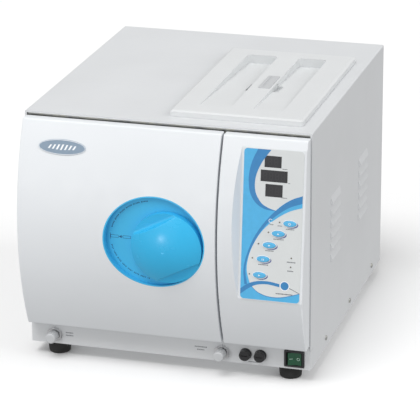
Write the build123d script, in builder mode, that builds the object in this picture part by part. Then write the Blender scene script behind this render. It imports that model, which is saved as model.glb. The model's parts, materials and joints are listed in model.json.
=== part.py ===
from build123d import *

import os
from math import atan2, cos, pi, radians, sin, sqrt, tan

os.makedirs("parts", exist_ok=True)

# Benchtop steam autoclave. X to the right, Y to the back, Z up, millimetres.
# The origin is the centre of the whole object's footprint, on the bench.

# ---------------------------------------------------------------- driving dimensions
CASE_W = 460.0  # sheet metal casing
CASE_D = 500.0
CASE_H = 388.0
FOOT_H = 22.0
SHEET = 1.5
FRONT_REACH = 75.0  # door knob ahead of the casing's front edge
REAR_REACH = 15.0  # hose spigots and mains inlet behind the casing

FRONT_Y = -(CASE_D + REAR_REACH - FRONT_REACH) / 2
BACK_Y = FRONT_Y + CASE_D
BASE_Z = FOOT_H
TOP_Z = BASE_Z + CASE_H

STRIP_H = 38.0  # plain strip of the base below the front covers
STRIP_TOP = BASE_Z + STRIP_H
RETURN_L = 16.0  # strip's return along each side
RETURN_H = 33.0
HEM_W = 3.0  # folded front edge of the casing
BEND_R = 2.5

BULGE_R = 397.0  # convex front shared by the door and the control panel
BULGE_DEPTH = 57.0
BULGE_Z = BASE_Z + 205.0
LEDGE_TOP_Z = BASE_Z + 381.0
LEDGE_LOW_Z = BASE_Z + 40.0
COVER_BACK_Y = FRONT_Y - 1.5
COVER_WALL = 3.0
CORNER_R = 4.0

DOOR_X0 = -228.0
DOOR_X1 = 92.5
PANEL_X0 = 95.5
PANEL_X1 = 228.0

FRAME_Y = FRONT_Y + 4.0  # front face of the bulkhead behind the door
FRAME_T = 2.0

CHAMBER_X = -68.0
CHAMBER_Z = BASE_Z + 205.0
CHAMBER_R = 125.0
CHAMBER_WALL = 3.0
CHAMBER_L = 380.0
FLANGE_R = 146.0
FLANGE_T = 8.0
FLANGE_Y = FRAME_Y - FLANGE_T  # sealing face

HINGE_X = -220.0
HINGE_Y = FRONT_Y - 13.0
HINGE_PIN_R = 4.0
HINGE_SPREAD = 55.0  # each hinge above and below the chamber's centre
HINGE_Z = (CHAMBER_Z - HINGE_SPREAD, CHAMBER_Z + HINGE_SPREAD)

DISC_R = 134.0  # pressure plate of the door
DISC_T = 8.0
DISC_Y = FLANGE_Y - 2.0  # its face towards the chamber
PLATE_Y = DISC_Y - DISC_T  # back face of the door's bridge plate
PLATE_T = 5.0
PLATE_X0 = -206.0
PLATE_X1 = 72.0
PLATE_HALF_Z = 80.0

DISH_X = -6.0  # elliptical recess around the knob
DISH_Z = BASE_Z + 209.3
DISH_A = 82.0
DISH_B = 73.5
DISH_FLOOR_Y = FRONT_Y - 44.0
DISH_WALL = 2.0

KNOB_X = 14.5
KNOB_Z = BASE_Z + 202.5
KNOB_R = 56.5
KNOB_RIM_Y = FRONT_Y - BULGE_DEPTH
KNOB_TOP_Y = FRONT_Y - FRONT_REACH
GRIP_W = 82.0
GRIP_TILT = 27.0

SPINDLE_R = 6.0
RUNNING = 0.05  # radial clearance of a turning fit
GEAR_MODULE = 1.25
GEAR_TEETH = 16
PRESSURE_ANGLE = 20.0
BACKLASH = 0.4
BOLT_Y = PLATE_Y - PLATE_T - 5.0  # back face of the sliding bolt carriage
BOLT_T = 6.0
BOLT_SPREAD = 55.0
BOLT_TIP_X = 71.0
KEEPER_X = 76.0

FACET_LOW_Z = BASE_Z + 129.0  # flat facet of the control panel
FACET_HIGH_Z = BASE_Z + 367.5
FACET_LOW_Y = FRONT_Y - 50.0
FACET_HIGH_Y = FRONT_Y - 22.4
FACET_X0 = 127.0
MEMBRANE_X0 = 130.0
MEMBRANE_X1 = 224.0
MEMBRANE_T = 0.8

LID_X0 = -4.0
LID_X1 = 208.0
LID_Y0 = FRONT_Y + 28.0
LID_Y1 = FRONT_Y + 387.0
LID_LAP = 6.0
LID_PROUD = 10.0
LID_WALL = 3.0


def facing(y):
    """Upright plane at this Y, seen from the front; extrusions run towards the front."""
    return Plane.XZ.offset(-y)


def along_y(x, z):
    """Axis through this point, from front to back."""
    return Axis((x, 0, z), (0, 1, 0))


def bulge_y(z, inset=0.0):
    """Front surface of the covers at height z, or that surface moved inwards."""
    radius = BULGE_R - inset
    return FRONT_Y - BULGE_DEPTH + inset + radius - sqrt(radius**2 - (z - BULGE_Z) ** 2)


def cover_profile(inset=0.0, back_y=COVER_BACK_Y):
    """Closed side profile of the front covers, in the YZ plane."""
    top, low = LEDGE_TOP_Z - inset, LEDGE_LOW_Z + inset
    with BuildSketch(mode=Mode.PRIVATE) as profile:
        with BuildLine():
            Line((back_y, top), (bulge_y(top, inset), top))
            ThreePointArc(
                (bulge_y(top, inset), top),
                (bulge_y(BULGE_Z, inset), BULGE_Z),
                (bulge_y(low, inset), low),
            )
            Polyline((bulge_y(low, inset), low), (back_y, low), (back_y, top))
        make_face()
    return profile.sketch


def front_corners(part):
    """Long edges where a cover's bulge meets its two ledges."""
    edges = part.edges().filter_by(Axis.X).group_by(Axis.Y)
    return [e for group in edges[:2] for e in group]


# ---------------------------------------------------------------- casing
LOUVER_L = 60.0
LOUVER_OUT = 3.5
LOUVER_ROWS = [BASE_Z + 142 + 19 * i for i in range(6)]
LOUVER_COLS = (FRONT_Y + 155, FRONT_Y + 350)
SCREW_Y = (FRONT_Y + 100, FRONT_Y + 265, FRONT_Y + 430)
SCREW_Z = BASE_Z + 15.0
OPENING_R = 6.0


def louver_profile(skin):
    """Cross-section of a louver hood, grown inwards by its skin when cutting."""
    x = CASE_W / 2
    return Polygon(
        (x - SHEET - skin, 6.5 - 0.5 * skin),
        (x, 6.5 - 0.5 * skin),
        (x + LOUVER_OUT - skin, -4.0),
        (x + LOUVER_OUT - skin, -5.5 - skin),
        (x - SHEET - skin, -5.5 - skin),
        align=None,
    )


with BuildPart() as louver:
    with BuildSketch(Plane.XZ):
        louver_profile(0)
    extrude(amount=LOUVER_L / 2, both=True)
    hood_ends = louver.faces().filter_by(Axis.Y)
    chamfer(hood_ends.edges().filter_by(Axis.Y, reverse=True).sort_by(Axis.X)[-2:], 3.0)

with BuildPart() as louver_slot:
    with BuildSketch(Plane.XZ):
        louver_profile(1.0)
    extrude(amount=LOUVER_L / 2 - 4.0, both=True)

HEM_H = TOP_Z - SHEET / 2 - STRIP_TOP

with BuildPart() as casing_cover:
    with BuildSketch(facing(BACK_Y)) as case_outline:
        with Locations((0, BASE_Z + CASE_H / 2)):
            Rectangle(CASE_W, CASE_H)
        fillet(case_outline.vertices().group_by(Axis.Y)[-1], BEND_R)
        with Locations((0, BASE_Z + CASE_H / 2 - SHEET)):
            Rectangle(CASE_W - 2 * SHEET, CASE_H, mode=Mode.SUBTRACT)
    extrude(amount=CASE_D)
    # Folded hem around the front edge.
    with BuildSketch(facing(FRONT_Y + SHEET)):
        with Locations((0, STRIP_TOP + 0.5 + HEM_H / 2)):
            Rectangle(CASE_W - SHEET, HEM_H - 1.0)
        with Locations((0, STRIP_TOP + HEM_H / 2 - HEM_W + SHEET / 2)):
            Rectangle(CASE_W - 2 * HEM_W, HEM_H, mode=Mode.SUBTRACT)
    extrude(amount=SHEET)
    # Opening over the water tank.
    with BuildSketch(Plane.XY.offset(TOP_Z)):
        with Locations(((LID_X0 + LID_X1) / 2, (LID_Y0 + LID_Y1) / 2)):
            RectangleRounded(LID_X1 - LID_X0 - 2 * LID_LAP, LID_Y1 - LID_Y0 - 2 * LID_LAP, OPENING_R)
    extrude(amount=-2 * SHEET, mode=Mode.SUBTRACT)
    # Lower front corners, where the base's front strip turns round the side.
    with BuildSketch(Plane.YZ.offset(-CASE_W)):
        with Locations((FRONT_Y + RETURN_L / 2, BASE_Z + RETURN_H / 2)):
            Rectangle(RETURN_L, RETURN_H)
    extrude(amount=2 * CASE_W, mode=Mode.SUBTRACT)
    # Pressed louvers, two columns on each side.
    for column in LOUVER_COLS:
        for row in LOUVER_ROWS:
            with Locations((0, column, row)):
                add(louver.part)
                add(louver_slot.part, mode=Mode.SUBTRACT)
                add(louver.part.mirror(Plane.YZ))
                add(louver_slot.part.mirror(Plane.YZ), mode=Mode.SUBTRACT)
    # Clearance holes of the side screws.
    with BuildSketch(Plane.YZ.offset(-CASE_W)):
        with Locations([(y, SCREW_Z) for y in SCREW_Y]):
            Circle(2.2)
    extrude(amount=2 * CASE_W, mode=Mode.SUBTRACT)

# ---------------------------------------------------------------- base, bulkhead, rear
FOOT_X = 192.0
FOOT_Y = (FRONT_Y + 25.0, BACK_Y - 25.0)
FEET = [(x, y) for x in (-FOOT_X, FOOT_X) for y in FOOT_Y]
FOOT_SCREW_R = 2.5

DRAIN_Z = BASE_Z + 16.0
DRAIN_X = (-191.0, 87.0)
FUSE_Z = BASE_Z + 17.0
FUSE_X = (125.5, 149.5)
SWITCH_X = 204.0
SWITCH_Z = BASE_Z + 17.2
SWITCH_W = 32.5
SWITCH_H = 28.0
PAN_WALL = CASE_W / 2 - SHEET - 0.5
PAN_SIDE_H = 28.0

with BuildPart() as base_tray:
    # Floor pan with raised sides.
    with BuildSketch(facing(BACK_Y - 2.0)):
        with Locations((0, BASE_Z + PAN_SIDE_H / 2)):
            Rectangle(2 * PAN_WALL, PAN_SIDE_H)
        with Locations((0, BASE_Z + SHEET + PAN_SIDE_H / 2)):
            Rectangle(2 * (PAN_WALL - SHEET), PAN_SIDE_H, mode=Mode.SUBTRACT)
    extrude(amount=CASE_D - 2.0 - SHEET)
    # Front strip, the full width of the casing, with its returns and a small lip.
    with BuildSketch(facing(FRONT_Y + SHEET)):
        with Locations((0, BASE_Z + RETURN_H / 2 - 0.25)):
            Rectangle(CASE_W, RETURN_H - 0.5)
        with Locations((0, BASE_Z + STRIP_H / 2)):
            Rectangle(2 * PAN_WALL, STRIP_H)
    extrude(amount=SHEET)
    with BuildSketch(facing(FRONT_Y + RETURN_L - 0.5)):
        with Locations((0, BASE_Z + RETURN_H / 2 - 0.25)):
            Rectangle(CASE_W, RETURN_H - 0.5)
        with Locations((0, BASE_Z + RETURN_H / 2)):
            Rectangle(CASE_W - 2 * SHEET, RETURN_H + 1.0, mode=Mode.SUBTRACT)
    extrude(amount=RETURN_L - 0.5 - SHEET / 2)
    with BuildSketch(Plane.XY.offset(BASE_Z)):
        with Locations((0, FRONT_Y + RETURN_L / 2)):
            Rectangle(CASE_W, RETURN_L - 0.5)
    extrude(amount=SHEET)
    # Holes in the strip: drain valves, fuse holders and mains switch.
    with BuildSketch(facing(FRONT_Y + 2 * SHEET)):
        with Locations([(x, DRAIN_Z) for x in DRAIN_X]):
            Circle(5.2)
        with Locations([(x, FUSE_Z) for x in FUSE_X]):
            Circle(6.2)
        with Locations((SWITCH_X, SWITCH_Z)):
            Rectangle(SWITCH_W - 4.0, SWITCH_H - 4.0)
    extrude(amount=4 * SHEET, mode=Mode.SUBTRACT)
    # Holes for the feet and the side screws.
    with BuildSketch(Plane.XY.offset(BASE_Z - SHEET)):
        with Locations(FEET):
            Circle(FOOT_SCREW_R)
    extrude(amount=3 * SHEET, mode=Mode.SUBTRACT)
    with BuildSketch(Plane.YZ.offset(-CASE_W)):
        with Locations([(y, SCREW_Z) for y in SCREW_Y]):
            Circle(1.8)
    extrude(amount=2 * CASE_W, mode=Mode.SUBTRACT)

with BuildPart() as rubber_feet:
    with BuildSketch(Plane.XY.offset(BASE_Z)):
        with Locations(FEET):
            Circle(19.5)
    extrude(amount=-FOOT_H, taper=6)
    fillet(rubber_feet.edges().group_by(Axis.Z)[0], 2.5)
    with BuildSketch(Plane.XY):
        with Locations(FEET):
            Circle(7.0)
    extrude(amount=9.0, mode=Mode.SUBTRACT)
    with BuildSketch(Plane.XY):
        with Locations(FEET):
            Circle(FOOT_SCREW_R)
    extrude(amount=FOOT_H, mode=Mode.SUBTRACT)

with BuildPart() as foot_screws:
    with BuildSketch(Plane.XY.offset(5.0)):
        with Locations(FEET):
            Circle(5.0)
    extrude(amount=4.0)
    with BuildSketch(Plane.XY.offset(5.0)):
        with Locations(FEET):
            Rectangle(6.0, 1.2)
            Rectangle(1.2, 6.0)
    extrude(amount=1.6, mode=Mode.SUBTRACT)
    with BuildSketch(Plane.XY.offset(8.0)):
        with Locations(FEET):
            Circle(FOOT_SCREW_R - 0.1)
    extrude(amount=FOOT_H - 8.0 + 6.0)

FRAME_LOW_Z = STRIP_TOP + 1.0
FRAME_HIGH_Z = TOP_Z - SHEET - 1.0
WIRE_WINDOW = (165.0, BASE_Z + 245.0, 90.0, 190.0)
FLANGE_BOLT_PCD = 278.0
FLANGE_BOLT_R = 2.6

with BuildPart() as bulkhead:
    with BuildSketch(facing(FRAME_Y + FRAME_T)):
        with Locations((0, (FRAME_LOW_Z + FRAME_HIGH_Z) / 2)):
            Rectangle(2 * PAN_WALL, FRAME_HIGH_Z - FRAME_LOW_Z)
        with Locations((CHAMBER_X, CHAMBER_Z)):
            Circle(CHAMBER_R + CHAMBER_WALL + 0.4, mode=Mode.SUBTRACT)
            with PolarLocations(FLANGE_BOLT_PCD / 2, 8, start_angle=22.5):
                Circle(FLANGE_BOLT_R, mode=Mode.SUBTRACT)
        with Locations((WIRE_WINDOW[0], WIRE_WINDOW[1])):
            RectangleRounded(WIRE_WINDOW[2], WIRE_WINDOW[3], 6, mode=Mode.SUBTRACT)
    extrude(amount=FRAME_T)
    # Side flanges that stiffen the plate inside the casing.
    with BuildSketch(facing(FRAME_Y + 16.0)):
        with Locations((0, (FRAME_LOW_Z + FRAME_HIGH_Z) / 2)):
            Rectangle(2 * PAN_WALL, FRAME_HIGH_Z - FRAME_LOW_Z)
            Rectangle(2 * PAN_WALL - 2 * SHEET, FRAME_HIGH_Z - FRAME_LOW_Z, mode=Mode.SUBTRACT)
    extrude(amount=16.0 - FRAME_T / 2)

FAN_X = 150.0
FAN_Z = BASE_Z + 110.0
FAN_SIZE = 80.0
FAN_T = 25.0
INLET_X = -170.0
INLET_Z = BASE_Z + 45.0
INLET_W = 27.0
INLET_H = 20.0
SPIGOT_X = (-110.0, -80.0)
SPIGOT_Z = BASE_Z + 45.0
SPIGOT_R = 4.0
VALVE_X = -68.0
VALVE_Z = BASE_Z + 310.0
REAR_Y = BACK_Y - 0.5  # outer face of the rear panel
REAR_LOW_Z = BASE_Z + SHEET + 0.5
REAR_HIGH_Z = TOP_Z - SHEET - 0.5

REAR_SCREW_PLACES = [(x, z) for x in (-212.0, 212.0) for z in (30.0, 195.0, 360.0)]
GUARD_RINGS = (37.0, 29.0, 21.0, 13.0)
GUARD_GAP = 4.6

with BuildPart() as rear_panel:
    with BuildSketch(facing(REAR_Y)):
        with Locations((0, (REAR_LOW_Z + REAR_HIGH_Z) / 2)):
            Rectangle(2 * PAN_WALL - 2 * SHEET - 1.0, REAR_HIGH_Z - REAR_LOW_Z)
        with Locations((INLET_X, INLET_Z)):
            RectangleRounded(INLET_W + 0.6, INLET_H + 0.6, 3, mode=Mode.SUBTRACT)
        with Locations([(x, SPIGOT_Z) for x in SPIGOT_X]):
            Circle(5.0, mode=Mode.SUBTRACT)
        with Locations((VALVE_X, VALVE_Z)):
            Circle(9.0, mode=Mode.SUBTRACT)
        with Locations([(x, BASE_Z + z) for x, z in REAR_SCREW_PLACES]):
            Circle(1.8, mode=Mode.SUBTRACT)
        # Fan guard: rings pressed through the panel, joined by two crossed bars.
        with Locations((FAN_X, FAN_Z)):
            for ring in GUARD_RINGS:
                Circle(ring, mode=Mode.SUBTRACT)
                Circle(ring - GUARD_GAP)
            for turn in (45, 135):
                Rectangle(2 * GUARD_RINGS[0] + 1.0, 5.0, rotation=turn)
            with GridLocations(71.5, 71.5, 2, 2):
                Circle(2.1, mode=Mode.SUBTRACT)
        # Vent slots above the chamber.
        with Locations((-10.0, BASE_Z + 352.0)):
            with GridLocations(14.0, 0, 18, 1):
                SlotOverall(22.0, 5.0, rotation=90, mode=Mode.SUBTRACT)
    extrude(amount=SHEET)

with BuildPart() as fan_frame:
    with BuildSketch(facing(REAR_Y - SHEET)):
        with Locations((FAN_X, FAN_Z)):
            RectangleRounded(FAN_SIZE, FAN_SIZE, 4)
            Circle(38.5, mode=Mode.SUBTRACT)
            with GridLocations(71.5, 71.5, 2, 2):
                Circle(2.1, mode=Mode.SUBTRACT)
    extrude(amount=FAN_T)
    # Motor plate on four struts, at the inner side.
    with BuildSketch(facing(REAR_Y - SHEET - FAN_T + 3.0)):
        with Locations((FAN_X, FAN_Z)):
            Circle(17.0)
            for turn in (45, 135):
                Rectangle(78.0, 3.5, rotation=turn)
    extrude(amount=3.0)
    # Fixed shaft that the rotor turns on.
    with BuildSketch(facing(REAR_Y - SHEET - 4.0)):
        with Locations((FAN_X, FAN_Z)):
            Circle(2.0)
    extrude(amount=FAN_T - 6.0)

BLADES = 7
ROTOR_BACK_Y = REAR_Y - SHEET - 3.0
ROTOR_L = FAN_T - 8.0

with BuildPart() as fan_blade:
    with BuildSketch(Plane.YZ.offset(14.0)):
        Rectangle(1.6, 19.0, rotation=40)
    extrude(amount=22.5)

with BuildPart() as fan_rotor:
    with BuildSketch(facing(ROTOR_BACK_Y)):
        with Locations((FAN_X, FAN_Z)):
            Circle(16.0)
            Circle(2.0 + RUNNING, mode=Mode.SUBTRACT)
    extrude(amount=ROTOR_L)
    for i in range(BLADES):
        with Locations((FAN_X, ROTOR_BACK_Y - ROTOR_L / 2, FAN_Z)):
            add(fan_blade.part.rotate(Axis.Y, 360 / BLADES * i))

# ---------------------------------------------------------------- door
DOOR_BOSSES = [(x, CHAMBER_Z + z) for x in (-178.0, 60.0) for z in (-74.0, 74.0)]
DOOR_BOSS_R = 4.5
BADGE_X = -158.4
BADGE_Z = BASE_Z + 343.8
BADGE_A = 38.3
BADGE_B = 11.2
BADGE_T = 0.9
HINGE_EYE_R = 7.0
HINGE_EYE_H = 14.0
HINGE_NOTCH_H = 50.0
FLANGE_RELIEF = 5.0

with BuildPart() as door_cover:
    with BuildSketch(Plane.YZ.offset(DOOR_X0)):
        add(cover_profile())
    extrude(amount=DOOR_X1 - DOOR_X0)
    fillet(front_corners(door_cover), CORNER_R)
    end_edges = door_cover.faces().filter_by(Axis.X).edges()
    fillet(end_edges.sort_by(Axis.Y)[:-2], 1.8)
    with BuildSketch(Plane.YZ.offset(DOOR_X0 + COVER_WALL)):
        add(cover_profile(COVER_WALL, COVER_BACK_Y + 1.0))
    extrude(amount=DOOR_X1 - DOOR_X0 - 2 * COVER_WALL, mode=Mode.SUBTRACT)
    # Screw bosses that stand on the bridge plate.
    for x, z in DOOR_BOSSES:
        with BuildSketch(facing(PLATE_Y - PLATE_T)):
            with Locations((x, z)):
                Circle(DOOR_BOSS_R)
                Circle(1.6, mode=Mode.SUBTRACT)
        extrude(amount=PLATE_Y - PLATE_T - bulge_y(z) - COVER_WALL / 2)
    # Elliptical hole for the blue escutcheon.
    with BuildSketch(facing(FRONT_Y)):
        with Locations((DISH_X, DISH_Z)):
            Ellipse(DISH_A, DISH_B)
    extrude(amount=FRONT_REACH, mode=Mode.SUBTRACT)
    # Notches in the hinge side for the knuckles, and to swing past the fixed arms.
    with BuildSketch(Plane.YZ.offset(DOOR_X0 - 1.0)):
        for z in HINGE_Z:
            with Locations((HINGE_Y + 2.0, z)):
                Rectangle(22.0, HINGE_NOTCH_H)
        # Relief between them, clear of the chamber's flange.
        with Locations((COVER_BACK_Y, CHAMBER_Z)):
            Rectangle(2 * FLANGE_RELIEF, 2 * HINGE_SPREAD)
    extrude(amount=COVER_WALL + 1.5, mode=Mode.SUBTRACT)

with BuildPart() as door_badge:
    with BuildSketch(Plane.YZ.offset(BADGE_X - BADGE_A - 2.0)):
        add(cover_profile(-BADGE_T))
        add(cover_profile(), mode=Mode.SUBTRACT)
    extrude(amount=2 * BADGE_A + 4.0)
    with BuildSketch(facing(FRONT_Y - 5.0)):
        with Locations((BADGE_X, BADGE_Z)):
            Ellipse(BADGE_A, BADGE_B)
    extrude(amount=FRONT_REACH, mode=Mode.INTERSECT)

with BuildPart() as knob_escutcheon:
    with BuildSketch(facing(DISH_FLOOR_Y + 2.5)):
        with Locations((DISH_X, DISH_Z)):
            Ellipse(DISH_A, DISH_B)
    extrude(amount=BULGE_DEPTH)
    with BuildSketch(Plane.YZ.offset(DISH_X - DISH_A - 5.0)):
        add(cover_profile(back_y=FRONT_Y))
    extrude(amount=2 * DISH_A + 10.0, mode=Mode.INTERSECT)
    with BuildSketch(facing(DISH_FLOOR_Y)):
        with Locations((DISH_X, DISH_Z)):
            Ellipse(DISH_A - DISH_WALL, DISH_B - DISH_WALL)
    extrude(amount=BULGE_DEPTH, mode=Mode.SUBTRACT)
    with BuildSketch(facing(DISH_FLOOR_Y + 5.0)):
        with Locations((KNOB_X, KNOB_Z)):
            Circle(SPINDLE_R + 0.6)
    extrude(amount=10.0, mode=Mode.SUBTRACT)

KNOB_BACK_Y = DISH_FLOOR_Y - 0.6
KNOB_DOME = KNOB_RIM_Y - KNOB_TOP_Y
DOME_R = (KNOB_R**2 + KNOB_DOME**2) / (2 * KNOB_DOME)
SCOOP_Y = KNOB_RIM_Y + 1.0
HUB_R = 12.0
HUB_END_Y = KNOB_TOP_Y + 7.0
scoop_plane = Plane(
    origin=(KNOB_X, SCOOP_Y, KNOB_Z),
    x_dir=(-sin(radians(GRIP_TILT)), 0, cos(radians(GRIP_TILT))),
    z_dir=(cos(radians(GRIP_TILT)), 0, sin(radians(GRIP_TILT))),
)

with BuildPart() as door_knob:
    with BuildSketch(Plane.XY.offset(KNOB_Z)):
        with BuildLine():
            half_r = KNOB_R / 2
            Polyline(
                (KNOB_X, KNOB_TOP_Y),
                (KNOB_X, KNOB_BACK_Y),
                (KNOB_X + KNOB_R, KNOB_BACK_Y),
                (KNOB_X + KNOB_R, KNOB_RIM_Y),
            )
            ThreePointArc(
                (KNOB_X + KNOB_R, KNOB_RIM_Y),
                (KNOB_X + half_r, KNOB_TOP_Y + DOME_R - sqrt(DOME_R**2 - half_r**2)),
                (KNOB_X, KNOB_TOP_Y),
            )
        make_face()
    revolve(axis=along_y(KNOB_X, KNOB_Z))
    # Two scooped ledges leave the wide grip across the middle.
    with BuildSketch(scoop_plane):
        with BuildLine():
            FilletPolyline(
                (KNOB_R, 2 * KNOB_DOME),
                (GRIP_W / 2 - 8.0, 2 * KNOB_DOME),
                (GRIP_W / 2, 0),
                (KNOB_R + 8.0, 0),
                (KNOB_R + 8.0, 2 * KNOB_DOME),
                radius=[0.5, 4.0, 0.5],
            )
            Line((KNOB_R + 8.0, 2 * KNOB_DOME), (KNOB_R, 2 * KNOB_DOME))
        make_face()
        mirror(about=Plane.YZ)
    extrude(amount=1.5 * KNOB_R, both=True, mode=Mode.SUBTRACT)
    crests = door_knob.edges().filter_by(GeomType.CIRCLE).group_by(Axis.Y)[1]
    fillet(crests, 2.0)
    # Hollow behind, with a hub for the spindle.
    with BuildSketch(facing(KNOB_BACK_Y)):
        with Locations((KNOB_X, KNOB_Z)):
            Circle(KNOB_R - 4.0)
            Circle(HUB_R, mode=Mode.SUBTRACT)
    extrude(amount=KNOB_BACK_Y - SCOOP_Y - 3.5, mode=Mode.SUBTRACT)
    with BuildSketch(facing(KNOB_BACK_Y)):
        with Locations((KNOB_X, KNOB_Z)):
            Circle(SPINDLE_R)
    extrude(amount=KNOB_BACK_Y - HUB_END_Y, mode=Mode.SUBTRACT)

# ---------------------------------------------------------------- door lock
BOLT_Z = (KNOB_Z - BOLT_SPREAD, KNOB_Z + BOLT_SPREAD)
GUIDE_X0 = 57.0
GUIDE_X1 = 67.0
GUIDE_SLACK = 0.4
BUSH_R = 9.0
TAB_X1 = 85.0
DOOR_SWITCH_X = 81.0

with BuildPart() as bridge_plate:
    with BuildSketch(facing(PLATE_Y)):
        with Locations(((PLATE_X0 + PLATE_X1) / 2, CHAMBER_Z)):
            RectangleRounded(PLATE_X1 - PLATE_X0, 2 * PLATE_HALF_Z, 8)
        # Tab that presses the door switch.
        with Locations(((PLATE_X1 + TAB_X1) / 2 - 2.0, CHAMBER_Z)):
            Rectangle(TAB_X1 - PLATE_X1 + 4.0, 14.0)
        with Locations((KNOB_X, KNOB_Z)):
            Circle(BUSH_R - 1.5, mode=Mode.SUBTRACT)
        with Locations(DOOR_BOSSES):
            Circle(1.7, mode=Mode.SUBTRACT)
        # Lightening windows left of the lock.
        with Locations((-115.0, CHAMBER_Z + 42.0), (-115.0, CHAMBER_Z - 42.0)):
            RectangleRounded(90.0, 44.0, 10, mode=Mode.SUBTRACT)
    extrude(amount=PLATE_T)

with BuildPart() as pressure_plate:
    with BuildSketch(Plane.XY.offset(CHAMBER_Z)):
        with Locations((CHAMBER_X, PLATE_Y)):
            Rectangle(DISC_R, DISC_T, align=(Align.MIN, Align.MIN))
            Rectangle(118.0, DISC_T + 3.5, align=(Align.MIN, Align.MIN))
        with Locations((CHAMBER_X + 126.0, DISC_Y - 5.0)):
            Rectangle(7.0, 6.0, align=(Align.MIN, Align.MIN), mode=Mode.SUBTRACT)
    revolve(axis=along_y(CHAMBER_X, CHAMBER_Z))
    rims = pressure_plate.edges().filter_by(GeomType.CIRCLE).group_by(Axis.Y)
    fillet(rims[-1], 3.0)

with BuildPart() as door_gasket:
    with BuildSketch(Plane.XY.offset(CHAMBER_Z)):
        with Locations((CHAMBER_X + 126.0, DISC_Y - 5.0)):
            Rectangle(7.0, 6.7, align=(Align.MIN, Align.MIN))
    revolve(axis=along_y(CHAMBER_X, CHAMBER_Z))
    fillet(door_gasket.edges().filter_by(GeomType.CIRCLE).group_by(Axis.Y)[-1], 1.2)

with BuildPart() as knob_spindle:
    with BuildSketch(facing(PLATE_Y - 0.5)):
        with Locations((KNOB_X, KNOB_Z)):
            Circle(SPINDLE_R)
    extrude(amount=PLATE_Y - 0.5 - HUB_END_Y - 0.2)
    chamfer(knob_spindle.edges().filter_by(GeomType.CIRCLE), 0.6)

with BuildPart() as spindle_bush:
    with BuildSketch(facing(PLATE_Y)):
        with Locations((KNOB_X, KNOB_Z)):
            Circle(BUSH_R - 1.5)
    extrude(amount=PLATE_T)
    with BuildSketch(facing(PLATE_Y - PLATE_T)):
        with Locations((KNOB_X, KNOB_Z)):
            Circle(BUSH_R + 1.0)
    extrude(amount=4.0)
    with BuildSketch(facing(PLATE_Y)):
        with Locations((KNOB_X, KNOB_Z)):
            Circle(SPINDLE_R + RUNNING)
    extrude(amount=PLATE_T + 4.0, mode=Mode.SUBTRACT)

PITCH_R = GEAR_MODULE * GEAR_TEETH / 2
BASE_R = PITCH_R * cos(radians(PRESSURE_ANGLE))
TIP_R = PITCH_R + 0.8 * GEAR_MODULE
ROOT_R = PITCH_R - 1.2 * GEAR_MODULE


def involute_angle(radius):
    """How far the involute has turned from its start when it reaches this radius."""
    roll = sqrt(max(radius**2 / BASE_R**2 - 1, 0))
    return roll - atan2(roll, 1)


def flank_half_angle(radius):
    """Half the tooth's angular width at this radius."""
    at_pitch = pi / (2 * GEAR_TEETH) - BACKLASH / (4 * PITCH_R)
    return at_pitch + involute_angle(PITCH_R) - involute_angle(max(radius, BASE_R))


def polar(radius, angle):
    return (radius * cos(angle), radius * sin(angle))


FLANK_RADII = [BASE_R + (TIP_R - BASE_R) * i / 4 for i in range(5)]
LEFT_FLANK = [polar(r, flank_half_angle(r)) for r in FLANK_RADII]
RIGHT_FLANK = [polar(r, -flank_half_angle(r)) for r in FLANK_RADII]
TOOTH_FOOT = polar(ROOT_R - 0.5, flank_half_angle(BASE_R))

with BuildPart() as lock_pinion:
    with BuildSketch(facing(BOLT_Y + 0.5)):
        with Locations((KNOB_X, KNOB_Z)):
            Circle(ROOT_R)
    extrude(amount=BOLT_T + 1.0)
    with BuildSketch(mode=Mode.PRIVATE) as gear_tooth:
        with BuildLine():
            Polyline(TOOTH_FOOT, *LEFT_FLANK)
            Line(LEFT_FLANK[-1], RIGHT_FLANK[-1])
            Polyline(*RIGHT_FLANK[::-1], (TOOTH_FOOT[0], -TOOTH_FOOT[1]))
            Line((TOOTH_FOOT[0], -TOOTH_FOOT[1]), TOOTH_FOOT)
        make_face()
    with BuildSketch(facing(BOLT_Y + 0.5)):
        with Locations((KNOB_X, KNOB_Z)):
            with PolarLocations(0, GEAR_TEETH):
                add(gear_tooth.sketch)
    extrude(amount=BOLT_T + 1.0)
    with BuildSketch(facing(BOLT_Y + 1.0)):
        with Locations((KNOB_X, KNOB_Z)):
            Circle(SPINDLE_R)
    extrude(amount=BOLT_T + 2.0, mode=Mode.SUBTRACT)

RACK_PITCH = pi * GEAR_MODULE
RACK_LINE_Z = KNOB_Z + PITCH_R
RACK_TIP_Z = RACK_LINE_Z - 0.8 * GEAR_MODULE
RACK_ROOT_Z = RACK_LINE_Z + 1.2 * GEAR_MODULE
RACK_GAPS = 7
RACK_X0 = KNOB_X - RACK_GAPS * RACK_PITCH
WEB_X0 = 27.0
WEB_X1 = 39.0
BAR_H = 12.0


def rack_half_width(z):
    """Half the width of a rack tooth at height z."""
    return RACK_PITCH / 4 - BACKLASH / 4 + (z - RACK_LINE_Z) * tan(radians(PRESSURE_ANGLE))


RACK_TIP_W = rack_half_width(RACK_TIP_Z)
RACK_ROOT_W = rack_half_width(RACK_ROOT_Z)

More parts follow.
